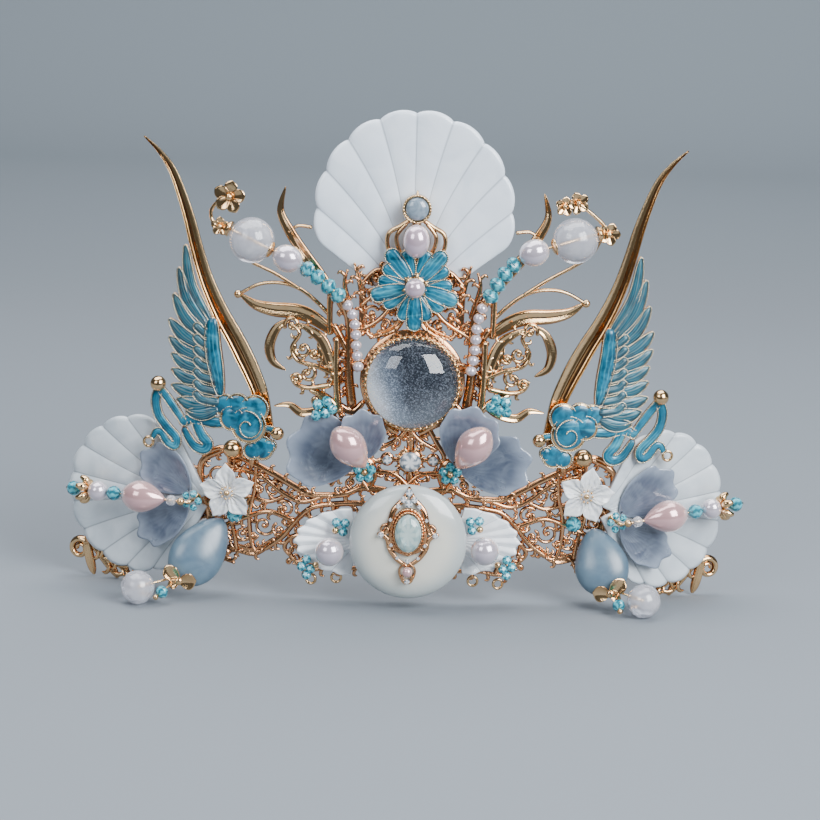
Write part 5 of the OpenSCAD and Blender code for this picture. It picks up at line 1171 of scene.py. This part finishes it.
for s in SIDES:
    path = np.array([[x, z, SEAT + SEED_R] for x, z in SEEDS[s]]
                    + [side_on_half(u, z, SEAT + CRYSTAL_R) for u, z in CRYSTALS[s]]
                    + [side_on_half(*OVALS[s], SEAT + OVAL_R)]
                    + [side_on_half(*QUARTZES[s], QUARTZ_D)])
    heading = unit(np.gradient(path, axis=0))
    ball_at, ball_run = path[QUARTZ], heading[QUARTZ]
    beads = Piece(side_name("branch_pearls", s), white_pearl, teal, gold).on(ON_HALF[s])
    for p, h in zip(path[:FIRST_CRYSTAL], heading):
        beads.add(ball(p, 1.12 * SEED_R, 24, 0.9, h))
    for k in range(FIRST_CRYSTAL, OVAL):
        beads.add(crystal(path[k], heading[k], 1.14 * CRYSTAL_R, 1.15 * CRYSTAL_HALF), 1, flat=True)
    beads.add(ball(path[OVAL], OVAL_R, 40, OVAL_HALF / OVAL_R, heading[OVAL]))
    for k in range(FIRST_CRYSTAL, OVAL + 1):
        beads.add(ball((path[k] + path[k - 1]) / 2, 0.85, 12, 0.5, heading[k]), 2)
    beads.make("white_pearl", side_name("branch_beads", s))
    globe = Piece(side_name("white_quartz_ball", s), quartz, gold).on(ON_HALF[s])
    globe.add(ball(ball_at, QUARTZ_R, 56, axis=ball_run))
    cup = [(0.6, 0.9), (1.6, 0.75), (2.5, 0.2), (2.7, -0.25), (2.4, -0.35), (0.6, 0.3)]
    globe.add(lathe(cup, ball_at - ball_run * (QUARTZ_R - 0.35), -ball_run, 24), 1)
    globe.make("quartz", side_name("quartz_ball", s))
    thread = Piece(side_name("branch_thread", s), gold).on(ON_HALF[s])
    thread.add(cord(smooth([*path[:QUARTZ], ball_at + ball_run * (QUARTZ_R + 1.2)], 6), WIRE_R))
    thread.make("gold", side_name("branch_wire", s))

    d = QUARTZ_D - 0.4
    tip = Piece(side_name("gold_tip_flower", s), gold).on(ON_HALF[s])
    cap = [(1.6, 0), (2.6, 0.1), (2.4, 0.8), (1.5, 1.9), (0.6, 2.2)]
    tip.add(lathe(cap, ball_at + ball_run * (QUARTZ_R + 0.3), ball_run, 24))
    tip.on(ON_SIDE[s]).add(cord(lifted(smooth(TIP_STEMS[s]), QUARTZ_D), 0.6))
    for u, z, r, spin in TIP_BLOOMS[s]:
        leaf = petal(r, r * 0.86, 0.5, 0.35, 0.9, point=0.05 * r, fine=0.35)
        for k in range(5):
            tip.add(moved(leaf, [u, z, d], spin + 72 * k))
        tip.add(ball([u, z, d + 0.9], 0.2 * r + 0.3, 12))
    if s > 0:
        tip.add(cord(lifted([[21.2, 127.4], [23.2, 128], [25.4, 128.4]], d + 0.3), 0.45))
    tip.make("gold", side_name("tip_flower", s))

# Small fans beside the disc, their pearls and beads, and the hanging loops
FAN_APEX = (14.9, 20.4)
LOOP_R, LOOP_BORE_R = 1.95, 1.05
FAN_BEADS = [(19.6, 27.2, 6.1), (22.4, 27.4, 6.1), (20.2, 24.4, 6.1), (31.4, 15.2, 6.4),
             (33, 12.9, 6.4), (30.2, 12.2, 6.4), (31.4, 10.2, 6.4)]
for s in SIDES:
    shift = np.array([s * 0.6, s * 0.8, 0])
    fan = Piece(side_name("pleated_fan", s), pleat).on(ON_HALF[s])
    fan.add(moved(pleated_fan(20.6, 11, 9, 82, 0.7, 1.0, 1.0),
                  [FAN_APEX[0] + s * 0.5, FAN_APEX[1] + s * 0.6, PLATE_T + GAP]))
    fan.make("shell", side_name("small_fan", s))
    beads = Piece(side_name("fan_pearl_group", s), white_pearl, teal, gold).on(ON_HALF[s])
    beads.add(ball(shift + [24.3, 18.6, 9.2], 4.5, 40, axis=UPRIGHT))
    for at in FAN_BEADS:
        beads.add(crystal(shift + at, [0.3, 0.4, 1], 1.5, 1.2), 1, flat=True)
    for at in ((28.6, 13.4, 6.3), (22.6, 24.8, 6.3)):
        beads.add(ball(shift + at, 1.1, 20), 2)
    beads.make("white_pearl", side_name("fan_beads", s))
    loops = Piece(side_name("hanging_loops", s), gold)
    turn = np.radians(np.linspace(0, 360, 12, endpoint=False))
    wire_r = (LOOP_R - LOOP_BORE_R) / 2
    section = np.stack([LOOP_R - wire_r + wire_r * np.cos(turn), 0.6 * np.sin(turn)], -1)
    for place, u, z in ((ON_HALF[s], 21.6, 9.2 - LOOP_R), (ON_SIDE[s], 5.6, 8.2 - LOOP_R)):
        loops.on(place).add(lathe(section, [u, z, 0.7], sides=32, joined=True))
    loops.make("gold", side_name("loops", s))

# Violet petals beside the dome as rows of (turn, length, width), their drops and bead clusters
VIOLET_ROWS = {-1: [(22, 25, 21), (86, 19, 13)], 1: [(10, 25, 17), (66, 22, 17)]}
DROP_ENDS = {
    -1: ([13, 45.2, 9.8], [22.4, 58, 13.8]),
    1: ([15.2, 45.8, 9.8], [24.6, 59.4, 13.4])}
CLUSTERS = {
    -1: [[25.6, 65], [28.4, 64], [26, 61.4], [28.8, 60.6], [24, 62.6]],
    1: [[27, 67], [30, 66.4], [27.8, 63.8], [30.2, 63.2], [25.4, 64.6]]}


def pearl_drop(length, r, at, axis):
    """Drop whose half width is a sine of the distance t from its blunt end to the power 0.8, so
    that it is fullest short of the middle and narrows to its tip."""
    t = np.linspace(0.985, 0.03, 30)
    half = r * np.sin(np.pi * t**0.8) ** 0.85 * (0.9 + 0.1 * t)
    return lathe(np.stack([np.maximum(half, 0.4), (1 - t) * length], -1), at, axis)


def violet_petals(piece, rows, at, start, cup, thick, rise, ruffle, lobes, turns):
    """Overlapping petals that share a root. Each starts a little way out from it."""
    for k, ((turn, length, width), phase) in enumerate(zip(rows, turns)):
        points, *rest = petal(length, 1.12 * width, cup, thick, rise, ruffle, lobes, phase)
        root = [at[0], at[1], at[2] + 1.2 * k]
        piece.add(moved((points + [start, 0, 0], *rest), root, turn))


def bead_flower(piece, at, start, r, half, finish):
    """Five small crystals in a ring that lean outward."""
    for k in range(5):
        a = np.radians(72 * k + start)
        out = np.array([np.cos(a), np.sin(a), 0])
        piece.add(crystal(at + 2.3 * out, out + [0, 0, 3], r, half, 8), finish, flat=True)


for s in SIDES:
    leaves = Piece(side_name("violet_petal_pair", s), violet).on(ON_HALF[s])
    violet_petals(leaves, [(turn, length - 2.6, width) for turn, length, width in VIOLET_ROWS[s]],
                  [*PETAL_APEX, SEAT], 2.6, 2.0, 0.7, 2.2, 0.7, 3.5, (0.6 * s, 0.9 + 0.6 * s))
    leaves.make("violet_petal", side_name("violet_petals", s))
    tip, end = (np.array(p, float) for p in DROP_ENDS[s])
    drop = Piece(side_name("petal_pearl_drop", s), pink_pearl).on(ON_HALF[s])
    drop.add(pearl_drop(17, 5.8, tip, end - tip))
    drop.make("pink_pearl", side_name("pink_drop", s))
    beads = Piece(side_name("petal_bead_group", s), teal, gold).on(ON_HALF[s])
    bead_flower(beads, [PETAL_APEX[0], PETAL_BEAD_Z, 4.3], 18, 1.45, 1.2, 0)
    beads.add(ball([PETAL_APEX[0], PETAL_BEAD_Z, 4.9], 1.1, 20), 1)
    for k, (u, z) in enumerate(CLUSTERS[s]):
        beads.add(crystal([u, z, 5.7], [np.cos(k), np.sin(k), 1.5], 1.75, 1.4), flat=True)
    beads.make("teal_glass", side_name("petal_beads", s))

# Side shells with their petals, bead row and wire
ROW_D = 10.8
ROW_START = {-1: (-3, 30.8), 1: (-4.2, 27.6)}
ROW_SLOPE = {-1: 0.6, 1: 6.4}
# Lengths of the gold ball, the quartz bead, the drop, a crystal, the pearl, its cap and a crystal
ROW_LENGTHS = [2.5, 3.5, 15.6, 4.4, 6.5, 2.6, 4.3]
SIDE_PETAL_ROWS = {-1: [(37.5, 19.4, 13.4), (-37, 20, 12)], 1: [(35, 21, 13.6), (-37, 19.5, 11.6)]}
PETAL_D = SHELL_D + SHELL_T - 0.2
# A claw of the pearl's cap, as distances out from the row and along it
CLAW = np.array([[0.8, 0], [2.4, 0.2], [3.6, 1.3], [4.0, 2.6]])
FORWARD = np.array([0, 0, 1.0])
for s in SIDES:
    half_length = pick(s, (49, 43)) / 2
    fan = Piece(side_name("scallop_shell", s), side_fan_translucent_and_shaded).on(ON_TAIL[s])
    fan.add(moved(fan_shell(25.8, half_length, 11, 250, 1.5, rows=36),
                  [pick(s, (-7, -8.6)), 29.8, SHELL_D], -90))
    fan.make("shell", side_name("side_shell", s))
    v0, z0 = ROW_START[s]
    leaves = Piece(side_name("shell_petals", s), violet).on(ON_TAIL[s])
    violet_petals(leaves, SIDE_PETAL_ROWS[s], [v0, z0, PETAL_D], 3, 1.0, 0.6, 1.4, 0.4, 3,
                  (s, 1.3 + s))
    leaves.make("violet_petal", side_name("side_petals", s))

    slope = np.radians(ROW_SLOPE[s])
    run = np.array([np.cos(slope), np.sin(slope), 0])
    start = np.array([v0, z0, ROW_D])
    ends = 1.2 + np.cumsum([0] + [x + 0.2 for x in ROW_LENGTHS])
    middle = [start + run * (end + x / 2) for end, x in zip(ends, ROW_LENGTHS)]
    drop = Piece(side_name("row_pearl_drop", s), pink_pearl).on(ON_TAIL[s])
    drop.add(pearl_drop(ROW_LENGTHS[2], 5.4, start + run * ends[2], run))
    drop.make("pink_pearl", side_name("side_drop", s))
    beads = Piece(side_name("row_beads", s), white_pearl, teal, quartz).on(ON_TAIL[s])
    beads.add(ball(middle[1], 1.75, 24, axis=run), 2)
    beads.add(ball(middle[4], 3.25, 32, axis=run))
    beads.add(crystal(middle[3], run, 2.35, 2.15, 12), 1, flat=True)
    beads.add(crystal(middle[6], run, 2.35, 2.1, 12), 1, flat=True)
    bead_flower(beads, [v0, z0, ROW_D - 2.8], 36, 1.2, 1.0, 1)
    beads.on(ON_SIDE[s])
    beads.add(crystal([pick(s, (29.9, 28.6)), 26.2, RELIEF_T + 2.3], [0.2, 0.1, 1], 2.5, 2, 12),
              1, flat=True)
    beads.make("teal_glass", side_name("side_beads", s))
    wire = Piece(side_name("row_wire", s), gold).on(ON_TAIL[s])
    wire.add(cord([start + run * x for x in np.linspace(0, ends[-1] + 0.3, 12)], WIRE_R))
    wire.add(ball(middle[0], 1.25, 24, axis=run))
    thick = np.interp(np.linspace(0, 1, 13), [0, 0.5, 1], [0.6, 1.45, 0.5])
    for a in np.radians(range(0, 360, 60)):
        out = np.cross(run, FORWARD) * np.cos(a) + FORWARD * np.sin(a)
        spine = start + run * ends[5] + CLAW @ [out, run]
        wire.add(cord(smooth(spine, 4), thick))
    wire.add(cord([[v0, z0, d] for d in np.linspace(PETAL_D, ROW_D, 5)], 0.7))
    bosses(wire, [(v0, z0, 1.5, PETAL_D, PETAL_D + 0.5)])
    wire.make("gold", side_name("side_wire", s))

    flower_at = np.array([WHITE_FLOWER_U, WHITE_FLOWER_Z[s], WHITE_FLOWER_D])
    bloom = Piece(side_name("white_shell_flower", s), flower_white, gold).on(ON_SIDE[s])
    leaf = petal(7.9, 6.4, 1.2, 0.55, 0.5, point=1.5, far=0.7, fine=0.6)
    for k in range(5):
        bloom.add(moved(leaf, flower_at + [0, 0, 0.05 * k], pick(s, (84, 78)) + 72 * k))
    bosses(bloom, [(*flower_at[:2], 1.6, WHITE_FLOWER_D, WHITE_FLOWER_D + 1.2)])
    bloom.add(ball(flower_at + [0, 0, 1.8], 0.9, 20), 1)
    for a in np.radians(range(0, 360, 40)):
        bloom.add(ball(flower_at + 1.9 * np.array([np.cos(a), np.sin(a), 1]), 0.42, 10), 1)
    bloom.make("shell", side_name("white_flower", s))

# Drop stones at the foot of each side, given as distance out, y and z
DROP_TOP = {-1: (57.9, 1.4, 24.3), 1: (59.2, 1.4, 24.6)}
DROP_FOOT = {-1: (71.3, -6.4, 5.4), 1: (64.4, -6.6, 5)}
DROP_HALF_W, DROP_HALF_T, DROP_WIDEST = 8.5, 4.3, 0.58
QUARTZ_FOOT_R = 5.3
FOOT_BALL = {-1: (83.3, -13, QUARTZ_FOOT_R), 1: (75, -13, QUARTZ_FOOT_R)}
BICONE = {-1: (75.7, -13.2, 4), 1: (67.2, -13.6, 3.9)}


def drop_stone(a, b):
    """Flat drop from a to b. Its half width is that of two ellipse-like arcs which meet at
    DROP_WIDEST of its length, the upper one pointed and the lower one round."""
    run = unit(b - a)
    across = unit(np.cross(run, [0, -1.0, 0]))
    out = np.cross(across, run)
    t = np.linspace(0, 1, 40)
    t = t * t * (3 - 2 * t)
    upper = t < DROP_WIDEST
    q = np.where(upper, (DROP_WIDEST - t) / DROP_WIDEST, (t - DROP_WIDEST) / (1 - DROP_WIDEST))
    full = np.where(upper, (1 - q**1.55) ** 0.62, (1 - q**2.1) ** 0.5)
    full = np.maximum(full, 0.05)[:, None, None]
    turn = np.linspace(0, 2 * np.pi, 48, endpoint=False)[None, :, None]
    oval_rings = DROP_HALF_W * across * np.cos(turn) + DROP_HALF_T * out * np.sin(turn)
    return skin((a + (b - a) * t[:, None])[:, None] + full * oval_rings)


def facing_viewer(centre, place):
    """Places points (u, z, d) given from a centre in own axes."""
    return lambda points: place(centre + points[:, [0, 2, 1]] * [1, -1, 1])


for s in SIDES:
    place = in_own_axes(s)
    a, b = np.array(DROP_TOP[s]), np.array(DROP_FOOT[s])
    aqua_drop = Piece(side_name("aqua_drop", s), aqua).on(place)
    aqua_drop.add(drop_stone(a, b)).make("aqua_stone", side_name("teardrop", s))

    centre = b + pick(s, ([-0.4, -2.2, 1], [0.4, -2.2, 1.2]))
    root = centre + [2, -0.8, -0.6]
    bead, foot = np.array(BICONE[s]), np.array(FOOT_BALL[s])
    sag = centre + 0.4 * (foot - centre) + [0, 0.6, 0.8]
    end = bead + 3 * unit(bead - root)
    cap = Piece(side_name("leaf_cap", s), gold).on(facing_viewer(centre, place))
    for turn, reach, width in ((176, 5.3, 4.4), (50, 6.2, 4.2), (-22, 3.3, 2.6)):
        leaf = petal(reach, 1.2 * width, 1.0, 0.5, 0.3, point=0.4, fine=0.5)
        cap.add(moved(leaf, [0, 0, 0.2], turn))
    cap.add(ball([0, 0, 0.6], 1.3, 20, 0.6))
    cap.on(place)
    cap.add(cord(smooth([root, bead, end], 6), WIRE_R))
    cap.add(cord(smooth([centre + [0.6, -0.6, 1.4], sag, foot], 8), WIRE_R))
    cap.add(ball(end, 0.9, 16))
    cap.make("gold", side_name("foot_cap", s))
    stone = Piece(side_name("quartz_foot_bead", s), quartz, teal).on(place)
    stone.add(ball(foot, QUARTZ_FOOT_R, 48, axis=foot - sag))
    stone.add(crystal(bead, bead - root, 2, 1.7), 1, flat=True)
    stone.make("quartz", side_name("quartz_foot", s))


# Floor, light and camera
def stage_finish():
    f = Finish("pale_cloth_grey")
    soft = f.noise(2.5, 2)
    # The far rise and the wall are lighter than the floor: painted light.
    far = f.part(f.place, "Y").between(0.5, 1.5)
    near_side = f.blend(soft, (0.168, 0.190, 0.215), (0.180, 0.203, 0.228))
    return f.done(f.blend(far, near_side, (0.30, 0.345, 0.385)), Roughness=0.75)


def sweep_floor():
    """Floor that curves up into a wall far behind: a flat run, a quarter round and a flat rise.
    Its sizes are in metres, like the lights'."""
    a = np.radians(np.linspace(0, 90, 13))
    y = np.concatenate([[-0.24], 1.2 + 0.5 * np.sin(a), [1.7]])
    z = np.concatenate([[0.0], 0.5 - 0.5 * np.cos(a), [2.6]])
    points = [(x, b, c) for x in (-3.0, 3.0) for b, c in zip(y, z)]
    n = len(y)
    faces = [(n + k, n + k + 1, k + 1, k) for k in range(n - 1)]
    mesh = bpy.data.meshes.new("pale_floor")
    mesh.from_pydata(points, [], faces)
    mesh.polygons.foreach_set("use_smooth", [True] * len(faces))
    mesh.materials.append(stage_finish())
    floor = bpy.data.objects.new("pale_floor", mesh)
    bpy.context.scene.collection.objects.link(floor)


def soft_light(name, at, to, size, watts, tint):
    lamp = bpy.data.lights.new(name, "AREA")
    lamp.shape, lamp.size, lamp.size_y = "RECTANGLE", size[0], size[1]
    lamp.energy, lamp.color = watts, tint
    holder = bpy.data.objects.new(name, lamp)
    holder.location = at
    holder.rotation_euler = (Vector(to) - Vector(at)).to_track_quat("-Z", "Y").to_euler()
    bpy.context.scene.collection.objects.link(holder)


sweep_floor()
soft_light("window_right", (0.75, -0.8, 0.7), (0, 0, 0.06), (0.75, 0.85), 38, (0.94, 0.97, 1.0))
soft_light("overhead", (-0.1, 0.2, 1.1), (0, 0, 0.05), (1.5, 0.9), 27, (0.95, 0.97, 1.0))
soft_light("front_left", (-0.75, -0.95, 0.75), (0, 0, 0.06), (0.6, 0.6), 8, (0.93, 0.96, 1.0))
world = bpy.data.worlds.new("studio_air")
bpy.context.scene.world = world
world.use_nodes = True
world.node_tree.nodes["Background"].inputs["Color"].default_value = (0.62, 0.70, 0.78, 1)
world.node_tree.nodes["Background"].inputs["Strength"].default_value = 0.16

ELEVATION, ROLL, DISTANCE = np.radians(12.0), np.radians(1.6), 0.8
SENSOR, PICTURE_PX, FOCAL_PX = 36.0, 820, 2560
target = Vector((0.3 * MM, PANEL_Y * MM, 61.9 * MM))
lens = bpy.data.cameras.new("camera")
lens.sensor_width, lens.lens = SENSOR, SENSOR * FOCAL_PX / PICTURE_PX
lens.clip_start, lens.clip_end = 0.05, 20
camera = bpy.data.objects.new("camera", lens)
back_off = Vector((0, -np.cos(ELEVATION), np.sin(ELEVATION))) * DISTANCE
camera.matrix_world = (Matrix.Translation(target + back_off)
                       @ Matrix.Rotation(np.pi / 2 - ELEVATION, 4, "X")
                       @ Matrix.Rotation(ROLL, 4, "Z"))
bpy.context.scene.collection.objects.link(camera)
bpy.context.scene.camera = camera
